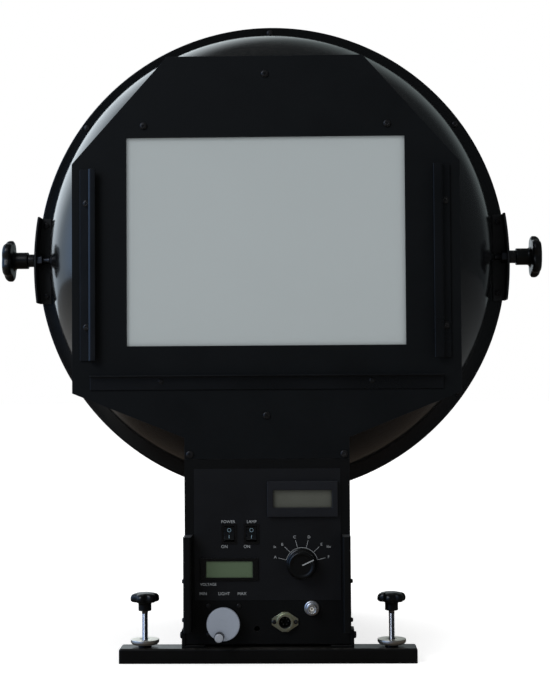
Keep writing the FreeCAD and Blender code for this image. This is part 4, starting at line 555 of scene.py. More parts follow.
def shellProfile(radius, rim, end):
    wall, thick, fillet, edge = shell["wall"], shell["flange"], shell["rootFillet"], shell["rimRound"]
    inner = radius - wall
    line = []
    first = math.acos(min(1.0, end / inner)) if end < inner else 0.0
    for step in range(shell["archSteps"] + 1):
        angle = first + (math.pi / 2 - first) * step / shell["archSteps"]
        line.append((inner * math.sin(angle), inner * math.cos(angle)))
    line += smoothProfile([(inner, 0, 0), (rim, 0, edge), (rim, thick, edge),
                           (rim - shell["flangeFlat"], thick, 0)])
    centre = (math.sqrt((radius + fillet) ** 2 - (thick + fillet) ** 2), thick + fillet)
    last = math.atan2(-centre[1], -centre[0])
    for step in range(shell["filletSteps"] + 1):
        angle = -math.pi / 2 + (last + math.pi / 2) * step / shell["filletSteps"]
        line.append((centre[0] + fillet * math.cos(angle), centre[1] + fillet * math.sin(angle)))
    start = math.atan2(centre[0], centre[1])
    stop = math.acos(min(1.0, end / radius)) if end < inner else 0.0
    for step in range(1, shell["archSteps"] + 1):
        angle = start + (stop - start) * step / shell["archSteps"]
        line.append((radius * math.sin(angle), radius * math.cos(angle)))
    if end < inner:
        line.append(line[0])
    return line


def cutPort(piece):
    low = Vector((-shell["portWidth"] / 2, -shell["portHeight"] / 2, shell["cutFrom"])) * mm
    high = Vector((shell["portWidth"] / 2, shell["portHeight"] / 2, shell["cutTo"])) * mm
    tool = cutterBlock(lambda corner: Vector(low[k] if corner[k] < 0 else high[k] for k in range(3)))
    tool.matrix_world = piece.matrix_world
    piece.data = sharpen(cutAway(piece, [tool]))


def makeShells():
    rearLow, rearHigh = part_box("rear_hemisphere")
    radius, rim = rearHigh.y / mm, rearHigh.x / mm
    centre = Vector((0, 0, (rearLow.z + rearHigh.z) / 2))
    inside = (radius - shell["wall"] * shell["liningShare"]) * mm
    for node, direction, end in (("front_hemisphere", forwards, shell["portFace"]),
                                 ("rear_hemisphere", backwards, radius)):
        mesh = lathe(node + "Shell", shellProfile(radius, rim, end), shell["aroundSteps"])
        piece = addPiece(node + "_shell", mesh, "stand", ["glossShell", "whiteLining"],
                         [node], axisPlace(centre, direction))
        if node == "front_hemisphere":
            cutPort(piece)
        paintFaces(piece, 1, lambda middle, normal: middle.length < inside and middle.dot(normal) < 0)
    half, start, end = gasket["half"], radius + gasket["clear"], rim - gasket["rimInset"]
    section = [(start, -half), (end, -half), (end, half), (start, half)]
    seam = lathe("seamGasket", section, shell["aroundSteps"])
    addPiece("seam_gasket", seam, "stand", ["gasketBlack"],
             place=axisPlace(centre, backwards))
    print("half shells made")


makeShells()


# folded sheet, case and panel: the nodes' own shapes with their finish and the width of their edge rounding
sheetPieces = {
    "front_plate": ("sheetBlack", 0.2), "port_frame": ("sheetBlack", 0.4),
    "plate_standoffs": ("sheetBlack", 0.4), "enclosure": ("caseBlack", 0.5),
    "front_panel": ("caseBlack", 0.35), "rear_cover": ("caseBlack", 0.4), "foot_brackets": ("caseBlack", 0.5),
    "rear_foot": ("barBlack", 1.2), "sphere_cradle": ("sheetBlack", 0.6),
}
panelGuards = {"rounding": 0.4, "topBand": 0.2, "upright": 0.9}


def makeSheetPieces():
    for node, (look, width) in sheetPieces.items():
        roundedCopy(node, "stand", [look], width)
    dress(nodes["front_base_bar"].data, "barBlack")
    guards = roundedCopy("panel_guards", "stand", ["caseBlack", "bareAluminium"],
                         panelGuards["rounding"])
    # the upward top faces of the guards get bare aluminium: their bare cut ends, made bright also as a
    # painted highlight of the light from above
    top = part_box("panel_guards")[1].z - panelGuards["topBand"] * mm
    paintFaces(guards, 1, lambda middle, normal: middle.z > top and normal.z > panelGuards["upright"])
    print("sheet pieces made")


makeSheetPieces()


# side brackets: a leg flat on the flange and a web bent forward, its outer face on a gentle arc
bracket = {"wall": 2.5, "endDrop": 3.6, "arcShift": 0.12, "inset": 0.5, "steps": 24, "rounding": 0.5}


def makeBrackets():
    wall, steps = bracket["wall"] * mm, bracket["steps"]
    drop, inset = bracket["endDrop"] * mm, bracket["inset"] * mm
    for side, sign in sides.items():
        node = "side_bracket_" + side
        low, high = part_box(node)
        middle, half = (low.z + high.z) / 2, (high.z - low.z) / 2
        outer, inner = (high.x, low.x) if sign > 0 else (-low.x, -high.x)
        bend = high.y - wall
        points, faces = [], []
        for step in range(steps + 1):
            share = 2 * step / steps - 1
            reach = outer - inset - drop * (share + bracket["arcShift"]) ** 2
            section = [(inner, high.y), (reach, high.y), (reach, low.y), (reach - wall, low.y),
                       (reach - wall, bend), (inner, bend)]
            points += [(sign * x, y, middle + share * half) for x, y in section]
        corners = len(section)
        for base in range(0, steps * corners, corners):
            for k in range(corners):
                following = (k + 1) % corners
                quad = [base + k, base + following, base + corners + following, base + corners + k]
                faces.append(quad if sign < 0 else quad[::-1])
        last = steps * corners
        faces += [list(range(corners)), list(range(last + corners - 1, last - 1, -1))]
        mesh = faceOutwards(meshFrom(node + "Sheet", points, faces))
        # the brackets take the lightened black, painted light for the shade they sit in
        piece = addPiece(node + "_sheet", mesh, "stand", ["litBracketBlack"], [node])
        roundEdges(piece, bracket["rounding"])
    print("brackets made")


makeBrackets()

# chart rails and ledge, in mm: each rail has a flange on the plate, a bend and a lip that stands clear of it,
# and the ledge is a plain angle with two rivets
rails = {"left": {"edge": 186.7, "bend": 177.6, "lip": 170.4, "low": 300.6, "high": 493.2},
         "right": {"edge": 184.8, "bend": 177.6, "lip": 168.0, "low": 302.2, "high": 495.4},
         "sheet": 2.0, "stand": 8.0, "bendRadius": 2.6, "rounding": 0.35}
ledge = {"halfWidth": 176.8, "low": 271.0, "high": 285.6, "sheet": 1.4, "bendRadius": 1.6, "rounding": 0.4,
         "rivetX": 105.6, "rivetZ": 279.6, "rivetRadius": 2.9, "rivetTall": 0.9}
fold = {"bendSteps": 7, "roundAngle": 50}


# the outline of a bent strip of sheet: its corners rounded on both sides of the bend
def foldedOutline(corners, thick, reach, steps):
    skins = []
    for shift in (thick / 2, -thick / 2):
        line = []
        for index, corner in enumerate(corners):
            spot = Vector(corner)
            before = (spot - Vector(corners[index - 1])).normalized() if index else None
            after = (Vector(corners[index + 1]) - spot).normalized() if index < len(corners) - 1 else None
            if before is None or after is None:
                along = after if before is None else before
                line.append(tuple(spot + Vector((-along.y, along.x)) * shift))
                continue
            turn = before.x * after.y - before.y * after.x
            radius = reach - thick / 2 - math.copysign(shift, shift * turn)
            middle = spot + (after - before) * (reach - thick / 2)
            start = math.atan2(-after.y, -after.x)
            sweep = math.atan2(before.y, before.x) - start
            sweep = (sweep + math.pi) % (2 * math.pi) - math.pi
            for step in range(steps + 1):
                angle = start + sweep * step / steps
                line.append((middle.x + radius * math.cos(angle), middle.y + radius * math.sin(angle)))
        skins.append(line)
    return skins[0] + skins[1][::-1]


def prismMesh(name, outline, start, end, place):
    count = len(outline)
    points = [place(x, y, along) for along in (start, end) for x, y in outline]
    faces = [[k, (k + 1) % count, (k + 1) % count + count, k + count] for k in range(count)]
    half = count // 2
    for base in (0, count):
        faces += [[base + k, base + k + 1, base + count - 2 - k, base + count - 1 - k]
                  for k in range(half - 1)]
    return sharpen(faceOutwards(meshFrom(name, [Vector(point) * mm for point in points], faces)))


def makeRails():
    face = -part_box("chart_rail_left")[1].y / mm
    thick = rails["sheet"]
    near, far = -(face + thick / 2), -(face + rails["stand"] - thick / 2)
    for side, sign in sides.items():
        rail = rails[side]
        web = rail["bend"] - thick / 2
        corners = [(rail["edge"], near), (web, near), (web, far), (rail["lip"], far)]
        outline = foldedOutline(corners, thick, rails["bendRadius"], fold["bendSteps"])
        mesh = prismMesh("rail_" + side, outline, rail["low"], rail["high"], lambda x, y, z: (sign * x, y, z))
        piece = addPiece("rail_sheet_" + side, mesh, "stand", ["railBlack"],
                         ["chart_rail_" + side])
        roundEdges(piece, rails["rounding"], angle=fold["roundAngle"])
    thick = ledge["sheet"]
    near, top = -(face + thick / 2), ledge["high"] - thick / 2
    corners = [(near, ledge["low"]), (near, top), (-(face + rails["stand"]), top)]
    outline = foldedOutline(corners, thick, ledge["bendRadius"], fold["bendSteps"])
    half = ledge["halfWidth"]
    mesh = prismMesh("ledge", outline, -half, half, lambda y, z, x: (x, y, z))
    piece = addPiece("ledge_sheet", mesh, "stand", ["railBlack"], ["chart_ledge"])
    roundEdges(piece, ledge["rounding"], angle=fold["roundAngle"])
    wide, tall = ledge["rivetRadius"], ledge["rivetTall"]
    rivet = turned("ledgeRivet", [
        (0, -0.3, 0), (wide, -0.3, 0), (wide, tall * 0.4, 0.3), (wide * 0.6, tall, 0.5),
        (wide * 0.3, tall * 0.98, 0.2), (wide * 0.25, tall * 0.5, 0.1), (0, tall * 0.5, 0)], 40)
    seats = [(sign * ledge["rivetX"] * mm, -(face + thick) * mm, ledge["rivetZ"] * mm)
             for sign in sides.values()]
    rivets = joinMeshes("ledgeRivets", [(rivet, axisPlace(seat, forwards)) for seat in seats])
    addPiece("ledge_rivets", rivets, "stand", ["chipBlack"])
    print("rails made")


makeRails()

window = {"rounding": 0.3}
roundedCopy("opal_diffuser", "stand", ["opalSheet"], window["rounding"])
print("window made")


# pan-head screws with a cross recess and lock nuts, each at the place of a solid in its node
panHead = {"crossLength": 0.62, "crossWidth": 0.17, "crossDepth": 0.5, "crossTaper": 0.55, "sideShare": 0.42,
           "domeShare": 0.5, "flatShare": 0.62, "domeSteps": 8, "tallShare": 0.61,
           "tall": {2.15: 2.2, 3.5: 2.5}, "spin": 37, "aroundSteps": 40, "sharpAngle": 35}
flangeNut = {"bore": 2.0, "radius": 3.9, "side": 2.2, "tall": 3.2, "behind": 2}
screwNodes = ("flange_screws", "plate_screws", "case_screws")
caseSide = 78  # screws of the case further out than this sit in its side walls


def panHeadMesh(name, radius, tall):
    edge, dome, flat = panHead["sideShare"], panHead["domeShare"], panHead["flatShare"]
    line = [(0, -0.05), (radius, -0.05), (radius, 0.0), (radius, tall * edge)]
    for step in range(1, panHead["domeSteps"] + 1):
        angle = math.pi / 2 * step / panHead["domeSteps"]
        line.append((radius * (flat + (1 - flat) * math.cos(angle)), tall * (edge + dome * math.sin(angle))))
    line += [(radius * 0.4, tall * 0.97), (0, tall)]
    head = putInScene(name, lathe(name, line, panHead["aroundSteps"]))
    long, slim = radius * 2 * panHead["crossLength"], radius * 2 * panHead["crossWidth"]
    tools = []
    for wide, deep in ((long, slim), (slim, long)):
        def crossCorner(corner):
            taper = panHead["crossTaper"] if corner.z < 0 else 1.0
            height = corner.z * tall + tall * (1.5 - panHead["crossDepth"])
            return Vector((corner.x * wide * taper, corner.y * deep * taper, height)) * mm

        tools.append(cutterBlock(crossCorner))
    done = cutAway(head, tools)
    bpy.data.objects.remove(head)
    return sharpen(done, panHead["sharpAngle"])


# the separate solids of a node, as lists of their corner points
def solidsOf(node):
    form = mergedForm(node)
    left, solids = set(form.verts), []
    for first in form.verts:
        if first not in left:
            continue
        left.remove(first)
        stack, found = [first], []
        while stack:
            vertex = stack.pop()
            found.append(vertex.co.copy())
            for edge in vertex.link_edges:
                other = edge.other_vert(vertex)
                if other in left:
                    left.remove(other)
                    stack.append(other)
        solids.append(found)
    form.free()
    return solids


def spanOf(points):
    low = Vector(min(point[k] for point in points) for k in range(3))
    high = Vector(max(point[k] for point in points) for k in range(3))
    return low, high


def flangeNutMesh():
    bore, wide, edge, tall = (flangeNut[key] for key in ("bore", "radius", "side", "tall"))
    return turned("flangeNut", [
        (bore, 0, 0), (wide, 0, 0.3), (wide, edge, 0.4), (wide - 1.0, edge + 0.6, 0.3),
        (bore + 0.4, tall, 0.2), (bore, tall - 0.1, 0)], 6)


def makeScrews():
    nut, heads = flangeNutMesh(), {}
    for node in screwNodes:
        found = []
        for index, points in enumerate(solidsOf(node)):
            low, high = spanOf(points)
            middle = (low + high) / 2
            if node == "flange_screws" and low.y > flangeNut["behind"] * mm:
                found.append((nut, axisPlace((middle.x, low.y, middle.z), backwards)))
                continue
            radius = (high.z - low.z) / 2 / mm
            size = round(radius, 2)
            tall = panHead["tall"].get(size, radius * panHead["tallShare"])
            if size not in heads:
                heads[size] = panHeadMesh(f"panHead{len(heads)}", radius, tall)
            if node == "case_screws" and abs(middle.x) > caseSide * mm:
                side = math.copysign(1, middle.x)
                tip = high.x if side > 0 else low.x
                place = axisPlace((tip - side * tall * mm, middle.y, middle.z), (side, 0, 0))
            else:
                place = axisPlace((middle.x, low.y + tall * mm, middle.z), forwards)
            spin = Matrix.Rotation(math.radians(panHead["spin"] * index), 4, "Z")
            found.append((heads[size], place @ spin))
        mesh = joinMeshes(node + "Heads", found)
        addPiece(node + "_heads", mesh, "stand", ["screwBlack"], [node])
    print("screws made")


makeScrews()


# star grips and star knobs: a lobed head that runs down into a round hub
starGrip = {"lobes": 6, "valley": 0.2, "radius": 14.4, "hub": 6.5, "hubLength": 9.0, "head": 9.0,
            "spin": 14}
starKnob = {"lobes": 5, "valley": 0.17, "radius": 24.2, "hub": 9.5, "hubLength": 16.9, "head": 11.7,
            "spin": 20}
lobeShape = {"spacing": 0.09, "stepsEach": 24, "outward": 0.8, "notch": 1.6}


def starMesh(name, star):
    radius, hub, neck, head = star["radius"], star["hub"], star["hubLength"], star["head"]
    corners = [
        (0, 0, 0), (hub, 0, 0.7), (hub, neck * 0.82, 1.2), (hub * 1.28, neck * 0.98, 1.4),
        (radius * 0.9, neck, 0.8), (radius, neck + head * 0.16, head * 0.1),
        (radius, neck + head * 0.6, head * 0.2), (radius * 0.86, neck + head * 0.86, head * 0.12),
        (radius * 0.5, neck + head * 0.985, head * 0.1), (0, neck + head, 0),
    ]

    def lobed(turn, reach, height):
        share = min(1.0, max(0.0, (reach - hub) / (radius - hub)))
        notch = (0.5 - 0.5 * math.cos(star["lobes"] * turn)) ** lobeShape["notch"]
        return 1 - star["valley"] * share ** lobeShape["outward"] * notch

    profile = denseProfile(corners, radius * lobeShape["spacing"])
    mesh = lathe(name, profile, lobeShape["stepsEach"] * star["lobes"], lobed)
    mesh.polygons.foreach_set("use_smooth", [True] * len(mesh.polygons))
    return mesh


# the thread's section: place along one pitch and share of the full radius
thread = {"steps": 20, "depthShare": 0.5, "rootShare": 1.02,
          "shape": [(0.0, 1.0), (0.12, 1.0), (0.5, 0.0), (0.62, 0.0), (1.0, 1.0)]}


# a rod along Z with a real thread from low to high, which fades in and out over one turn
def threadedRod(name, radius, pitch, length, low, high):
    steps, depth, shape = thread["steps"], pitch * thread["depthShare"], thread["shape"]
    count = int((high - low) / pitch * steps)
    points, faces = [], []
    for step in range(count + 1):
        turn = 2 * math.pi * step / steps
        base = low + (high - low) * step / count
        fade = min(1.0, step / steps, (count - step) / steps)
        for along, full in shape:
            reach = radius - depth * (1 - full) * fade
            x, y = reach * math.cos(turn), reach * math.sin(turn)
            points.append((x * mm, y * mm, (base + along * pitch) * mm))
    width = len(shape)
    for step in range(count):
        for here in range(step * width, step * width + width - 1):
            faces.append([here, here + width, here + width + 1, here + 1])
    spiral = meshFrom(name + "Thread", points, faces)
    root = radius - depth * thread["rootShare"]
    core = turned(name + "Core", [
        (0, 0, 0), (radius * 0.8, 0, 0), (radius, 0.6, 0.2), (radius, low + 0.05, 0),
        (root, low + pitch * 0.7, 0), (root, high + pitch * 0.2, 0), (radius, high + pitch * 0.9, 0),
        (radius, length - 0.3, 0.2), (0, length, 0)], 32)
    return joinMeshes(name, [(spiral, Matrix.Identity(4)), (core, Matrix.Identity(4))])


def spun(star):
    return Matrix.Rotation(math.radians(star["spin"]), 4, "Z")


stud = {"radius": 3.98, "pitch": 1.25, "threadFrom": 1.0, "plainEnd": 16, "nutRounding": 0.5,
        "bushRounding": 0.5}


def makeSideKnobs():
    for side, sign in sides.items():
        axis, outwards, knobBody = joints[side + "_knob_turn"], (sign, 0, 0), side + "_knob"
        low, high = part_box("side_knob_" + side)
        place = axisPlace((high.x if sign < 0 else low.x, axis.y, axis.z), outwards) @ spun(starKnob)
        addPiece("star_knob_" + side, starMesh("starKnob", starKnob), knobBody,
                 ["knobBlack"], ["side_knob_" + side], place)
        low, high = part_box("side_stud_" + side)
        length = (high.x - low.x) / mm
        rod = threadedRod("sideStud", stud["radius"], stud["pitch"], length, stud["threadFrom"],
                          length - stud["plainEnd"])
        place = axisPlace((high.x if sign < 0 else low.x, axis.y, axis.z), outwards)
        addPiece("stud_" + side, rod, knobBody, ["darkSteel"], ["side_stud_" + side], place)
        roundedCopy("side_bush_" + side, side + "_bush", ["screwBlack"], stud["bushRounding"])
    roundedCopy("stud_nuts", "stand", ["darkSteel"], stud["nutRounding"])
    print("side knobs made")


makeSideKnobs()


# levelling screws: threaded shank, star grip, lock nut with a tapered underside, swivel foot
levelling = {"radius": 2.98, "pitch": 1.0, "threadLow": 4.0, "threadTop": 47.5, "nutRadius": 14.2,
             "nutTaper": 1.6, "nutThick": 4.8, "nutBore": 3.05, "footRounding": 0.4}


def standingPlace(node, axis):
    return axisPlace((axis.x, axis.y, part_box(node)[0].z), upwards)


def makeLevellingScrews():
    wide, thick, bore = levelling["nutRadius"], levelling["nutThick"], levelling["nutBore"]
    for side in sides:
        axis, screwBody = joints[side + "_screw_turn"], side + "_screw"
        low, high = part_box("levelling_screw_" + side)
        rod = threadedRod("levellingRod", levelling["radius"], levelling["pitch"], (high.z - low.z) / mm,
                          levelling["threadLow"] - low.z / mm, levelling["threadTop"] - low.z / mm)
        addPiece("levelling_rod_" + side, rod, screwBody, ["platedSteel"],
                 ["levelling_screw_" + side], standingPlace("levelling_screw_" + side, axis))
        addPiece("grip_" + side, starMesh("starGrip", starGrip), screwBody, ["knobBlack"],
                 ["star_grip_" + side], standingPlace("star_grip_" + side, axis) @ spun(starGrip))
        nut = turned("lockDisc", [
            (bore, 0, 0), (wide - levelling["nutTaper"], 0, 0.3), (wide, thick * 0.42, 0.4),
            (wide, thick, 0.45), (5.4, thick, 0.3), (5.0, thick - 0.35, 0.1), (3.6, thick - 0.35, 0.1),
            (bore, thick - 0.8, 0), (bore, 0, 0)], 120)
        addPiece("lock_disc_" + side, nut, side + "_nut", ["turnedSteel"],
                 ["lock_nut_" + side], standingPlace("lock_nut_" + side, axis))
        roundedCopy("levelling_foot_" + side, side + "_foot", ["bareAluminium"],
                    levelling["footRounding"])
    print("levelling screws made")


makeLevellingScrews()


# the control panel
bezels = {"upper": {"slot": "grey_plastic", "look": "bezelBlue", "rounding": 0.9},
          "lower": {"slot": "black_plastic", "look": "switchBlack", "rounding": 0.5}}


def makeDisplays():
    for level, bezel in bezels.items():
        roundedCopy("display_bezel_" + level, "stand", [bezel["look"]], bezel["rounding"], 3)
        dress(nodes["display_glass_" + level].data, level + "Field")
    print("displays made")


makeDisplays()

knob = {"radius": 15.5, "length": 15.0, "skirt": 3.0, "flutes": 36, "fluteDepth": 0.018, "fluteSteps": 6,
        "spacing": 1.4, "pointer": 24.8, "pointerWidth": 1.1, "pointerStart": 0.6, "pointerEnd": 12.9,
        "pointerSunk": 0.48}


def makeSelector():
    axis = joints["selector_turn"]
    low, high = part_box("selector_knob")
    wide, tall, skirt = knob["radius"], knob["length"], knob["skirt"]
    corners = [(0, 0, 0), (wide, 0, 0.4), (wide, skirt * 0.7, 0.5), (wide * 0.9, skirt, 0.4),
               (wide * 0.87, tall * 0.93, 0.5), (wide * 0.8, tall, 0.5), (wide * 0.66, tall - 0.05, 0),
               (wide * 0.64, tall - 0.3, 0), (0, tall - 0.3, 0)]

    def fluted(turn, reach, height):
        between = min(1.0, max(0.0, (height - skirt) / 1.5), max(0.0, (tall * 0.93 - height) / 1.0))
        return 1 - knob["fluteDepth"] * between * (0.5 + 0.5 * math.cos(knob["flutes"] * turn))

    profile = denseProfile(corners, knob["spacing"])
    mesh = lathe("selectorKnob", profile, knob["flutes"] * knob["fluteSteps"], fluted)
    addPiece("selector_cap", mesh, "selector", ["knobBlack"], ["selector_knob"],
             axisPlace((axis.x, high.y, axis.z), forwards))
    start, end, half = knob["pointerStart"], knob["pointerEnd"], knob["pointerWidth"] / 2
    angle = math.radians(knob["pointer"])
    points = []
    for depth in (low.y, low.y + knob["pointerSunk"] * mm):
        for along, across in ((start, -half), (end, -half), (end, half), (start, half)):
            x = along * math.cos(angle) - across * math.sin(angle)
            z = along * math.sin(angle) + across * math.cos(angle)
            points.append((axis.x + x * mm, depth, axis.z + z * mm))
    faces = [[0, 1, 2, 3]] + [[k, k + 4, (k + 1) % 4 + 4, (k + 1) % 4] for k in range(4)]
    pointer = meshFrom("pointerLine", points, faces, False)
    addPiece("selector_pointer", pointer, "selector", ["inkWhite"])
    print("selector made")


makeSelector()

crank = {"radius": 16.5, "thick": 6.0, "stand": 6.0, "centre": 4.0, "handleRadius": 4.87,
         "handleLength": 12.0, "capLength": 2.2, "capRadius": 4.3}


def makeCrank():
    axis, pin = joints["dial_turn"], joints["handle_spin"]
    wide, thick, centre = crank["radius"], crank["thick"], crank["centre"]
    dial = turned("crankDial", [
        (0, 0, 0), (wide * 0.94, 0, 0.4), (wide, thick * 0.2, 0.6), (wide, thick * 0.86, 0.7),
        (wide * 0.95, thick, 0.6), (wide * 0.9, thick - 0.1, 0.1), (centre + 0.2, thick - 0.1, 0.1),
        (centre, thick - 0.16, 0.05), (0, thick - 0.16, 0)], 144)
    addPiece("crank_disc", dial, "dial", ["dialGrey"], ["crank_dial"],
             axisPlace((axis.x, axis.y - crank["stand"] * mm, axis.z), forwards))
    place = axisPlace((pin.x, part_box("crank_handle")[1].y, pin.z), forwards)
    reach, long = crank["handleRadius"], crank["handleLength"]
    cap, wideCap = crank["capLength"], crank["capRadius"]
    grip = turned("crankGrip", [
        (0, 0, 0), (reach * 0.97, 0, 0.3), (reach * 0.95, long * 0.35, 1.2), (reach, long * 0.7, 1.0),
        (reach, long - cap, 0.2), (reach * 0.6, long - cap + 0.02, 0)], 48)
    addPiece("crank_grip", grip, "handle", ["knobBlack"], ["crank_handle"], place)
    top = turned("crankCap", [
        (0, long - cap, 0), (wideCap, long - cap, 0.1), (wideCap, long - 0.8, 0.6),
        (wideCap * 0.6, long - 0.1, 0.6), (0, long, 0)], 48)
    addPiece("crank_end_cap", top, "handle", ["capPale"], place=place)
    print("crank made")


makeCrank()

# each rocker is two faces that lean off its middle; lengths are shares of half its height
rocker = {"leanShare": 0.993, "lean": 0.2, "reach": 0.92, "markDepth": 0.42, "markHeight": 0.46, "tilt": 10,
          "rounding": 0.5, "frameRounding": 0.25}
marks = {"proud": 0.03, "ring": 1.75, "ringLine": 0.34, "bar": 3.4, "barWidth": 0.45}


def makeRockers():
    roundedCopy("switch_frames", "stand", ["switchBlack"], rocker["frameRounding"])
    for side in sides:
        roundedCopy("rocker_" + side, side + "_rocker", ["switchBlack"],
                    rocker["rounding"], 3)
        pivot = joints[side + "_rocker_tilt"]
        low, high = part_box("rocker_" + side)
        reach = (high.z - low.z) / 2 / mm / rocker["leanShare"]
        slope = math.atan2(rocker["lean"] * reach, rocker["reach"] * reach)
        tilt = Matrix.Translation(pivot) @ Matrix.Rotation(math.radians(-rocker["tilt"]), 4, "X")
        ring = ringMesh("offMark", marks["ring"], marks["ringLine"], 0, 360)
        bar = stripMesh("onMark", (0, -marks["bar"] / 2), (0, marks["bar"] / 2), marks["barWidth"])
        for word, sign, outline in (("off", 1, ring), ("on", -1, bar)):
            depth, height = rocker["markDepth"] * reach + marks["proud"], rocker["markHeight"] * reach
            spot = Matrix.Translation(Vector((0, -depth, sign * height)) * mm)
            addPiece(f"rocker_mark_{word}_{side}", outline, side + "_rocker", ["inkBlue"],
                     place=tilt @ spot @ Matrix.Rotation(slope * sign, 4, "X"))
    print("rockers made")


# flat ink shapes, drawn in the XZ plane and facing the front
def ringMesh(name, radius, width, start, end, steps=48):
    points, faces = [], []
    for step in range(steps + 1):
        angle = math.radians(start + (end - start) * step / steps)
        for reach in (radius - width / 2, radius + width / 2):
            points.append((reach * math.cos(angle) * mm, 0, reach * math.sin(angle) * mm))
    faces = [[2 * k, 2 * k + 1, 2 * k + 3, 2 * k + 2] for k in range(steps)]
    return meshFrom(name, points, faces, False)


def stripMesh(name, start, end, width):
    along = (Vector(end) - Vector(start)).normalized() * width / 2
    across = Vector((-along.y, along.x))
    corners = [Vector(start) - across, Vector(end) - across, Vector(end) + across, Vector(start) + across]
    return meshFrom(name, [(corner.x * mm, 0, corner.y * mm) for corner in corners], [[0, 1, 2, 3]], False)


makeRockers()

scale = {"arc": 16.0, "line": 0.5, "tickLine": 0.85, "tickStart": 16.0, "tickEnd": 24.1, "letters": 27.3,
         "first": 166, "last": 14, "names": ["A", "B", "C", "D", "E", "F"], "letterSize": 2.8}
words = [
    {"text": "POWER", "x": -39.0, "z": 139.3, "size": 2.9},
    {"text": "LAMP", "x": -15.6, "z": 139.3, "size": 2.9},
    {"text": "ON", "x": -42.8, "z": 114.6, "size": 3.0},
    {"text": "ON", "x": -20.4, "z": 114.6, "size": 3.0},
    {"text": "VOLTAGE", "x": -59.0, "z": 77.2, "size": 2.65},
    {"text": "MIN", "x": -64.2, "z": 68.0, "size": 3.0},
    {"text": "LIGHT", "x": -43.4, "z": 68.0, "size": 3.0},
    {"text": "MAX", "x": -25.6, "z": 68.0, "size": 3.0},
    {"text": "lx", "x": 7.4, "z": 114.4, "size": 2.6},
    {"text": "klx", "x": 61.0, "z": 114.4, "size": 2.6},
]
lettering = {"capitalShare": 0.72, "swell": 0.01, "curveSteps": 4, "foilRounding": 0.08}


def textMesh(name, text, size):
    curve = bpy.data.curves.new(name, "FONT")
    curve.body = text
    curve.size = size * mm / lettering["capitalShare"]
    curve.align_x = "CENTER"
    curve.align_y = "CENTER"
    curve.offset = lettering["swell"] * mm
    curve.resolution_u = lettering["curveSteps"]
    holder = putInScene(name, curve)
    mesh = finalMesh(holder)
    bpy.data.objects.remove(holder)
    mesh.transform(Matrix.Rotation(math.pi / 2, 4, "X"))
    return mesh


def makeLettering():
    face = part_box("panel_foil")[0].y - marks["proud"] * mm
    parts = []
    for word in words:
        mesh = textMesh("panelWord", word["text"], word["size"])
        parts.append((mesh, Matrix.Translation((word["x"] * mm, face, word["z"] * mm))))
    axis = joints["selector_turn"]
    middle = Matrix.Translation((axis.x, face, axis.z))
    parts.append((ringMesh("scaleArc", scale["arc"], scale["line"], scale["last"], scale["first"]), middle))
    count = len(scale["names"])
    for index, letter in enumerate(scale["names"]):
        angle = math.radians(scale["first"] + (scale["last"] - scale["first"]) * index / (count - 1))
        aim = Vector((math.cos(angle), math.sin(angle)))
        width = scale["line"] * scale["tickLine"]
        tick = stripMesh("scaleTick", aim * scale["tickStart"], aim * scale["tickEnd"], width)
        parts.append((tick, middle))
        spot = Matrix.Translation((aim.x * scale["letters"] * mm, 0, aim.y * scale["letters"] * mm))
        parts.append((textMesh("scaleLetter", letter, scale["letterSize"]), middle @ spot))
    mesh = joinMeshes("panelLettering", parts)
    addPiece("panel_lettering", mesh, "stand", ["inkWhite"])
    roundedCopy("panel_foil", "stand", ["foilBlack"], lettering["foilRounding"], 1)
    print("lettering made")


makeLettering()

socket = {"well": 6.0, "wellSlack": 0.1, "wellDepth": 0.5, "pinInset": 1.0, "pinFace": 8.0, "rounding": 0.25}
jack = {"ring": 7.5, "ringThick": 2.5, "barrel": 4.8, "length": 9.0, "behind": -6, "boreShare": 0.74,
        "coreShare": 0.735, "lug": 0.95, "lugReach": 5.9, "lugSeat": 0.6, "lugFromEnd": 2.4, "coreBore": 0.9,
        "pin": 0.75, "pinBehind": -5}


def makeSocket():
    low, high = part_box("round_socket")
    centre = (low + high) / 2
    piece = roundedCopy("round_socket", "stand", ["socketPlate", "chipBlack", "pinDull"],
                        socket["rounding"])
    for face in piece.data.polygons:
        corners = [piece.data.vertices[index].co for index in face.vertices]
        reach = max(math.hypot(corner.x - centre.x, corner.z - centre.z) for corner in corners) / mm
        deepest = max(corner.y for corner in corners)
        if reach < socket["well"] + socket["wellSlack"] and deepest > low.y + socket["wellDepth"] * mm:
            face.material_index = 1
        if reach < socket["well"] - socket["pinInset"] and face.area < socket["pinFace"] * mm * mm:
            face.material_index = 2
    print("socket made")


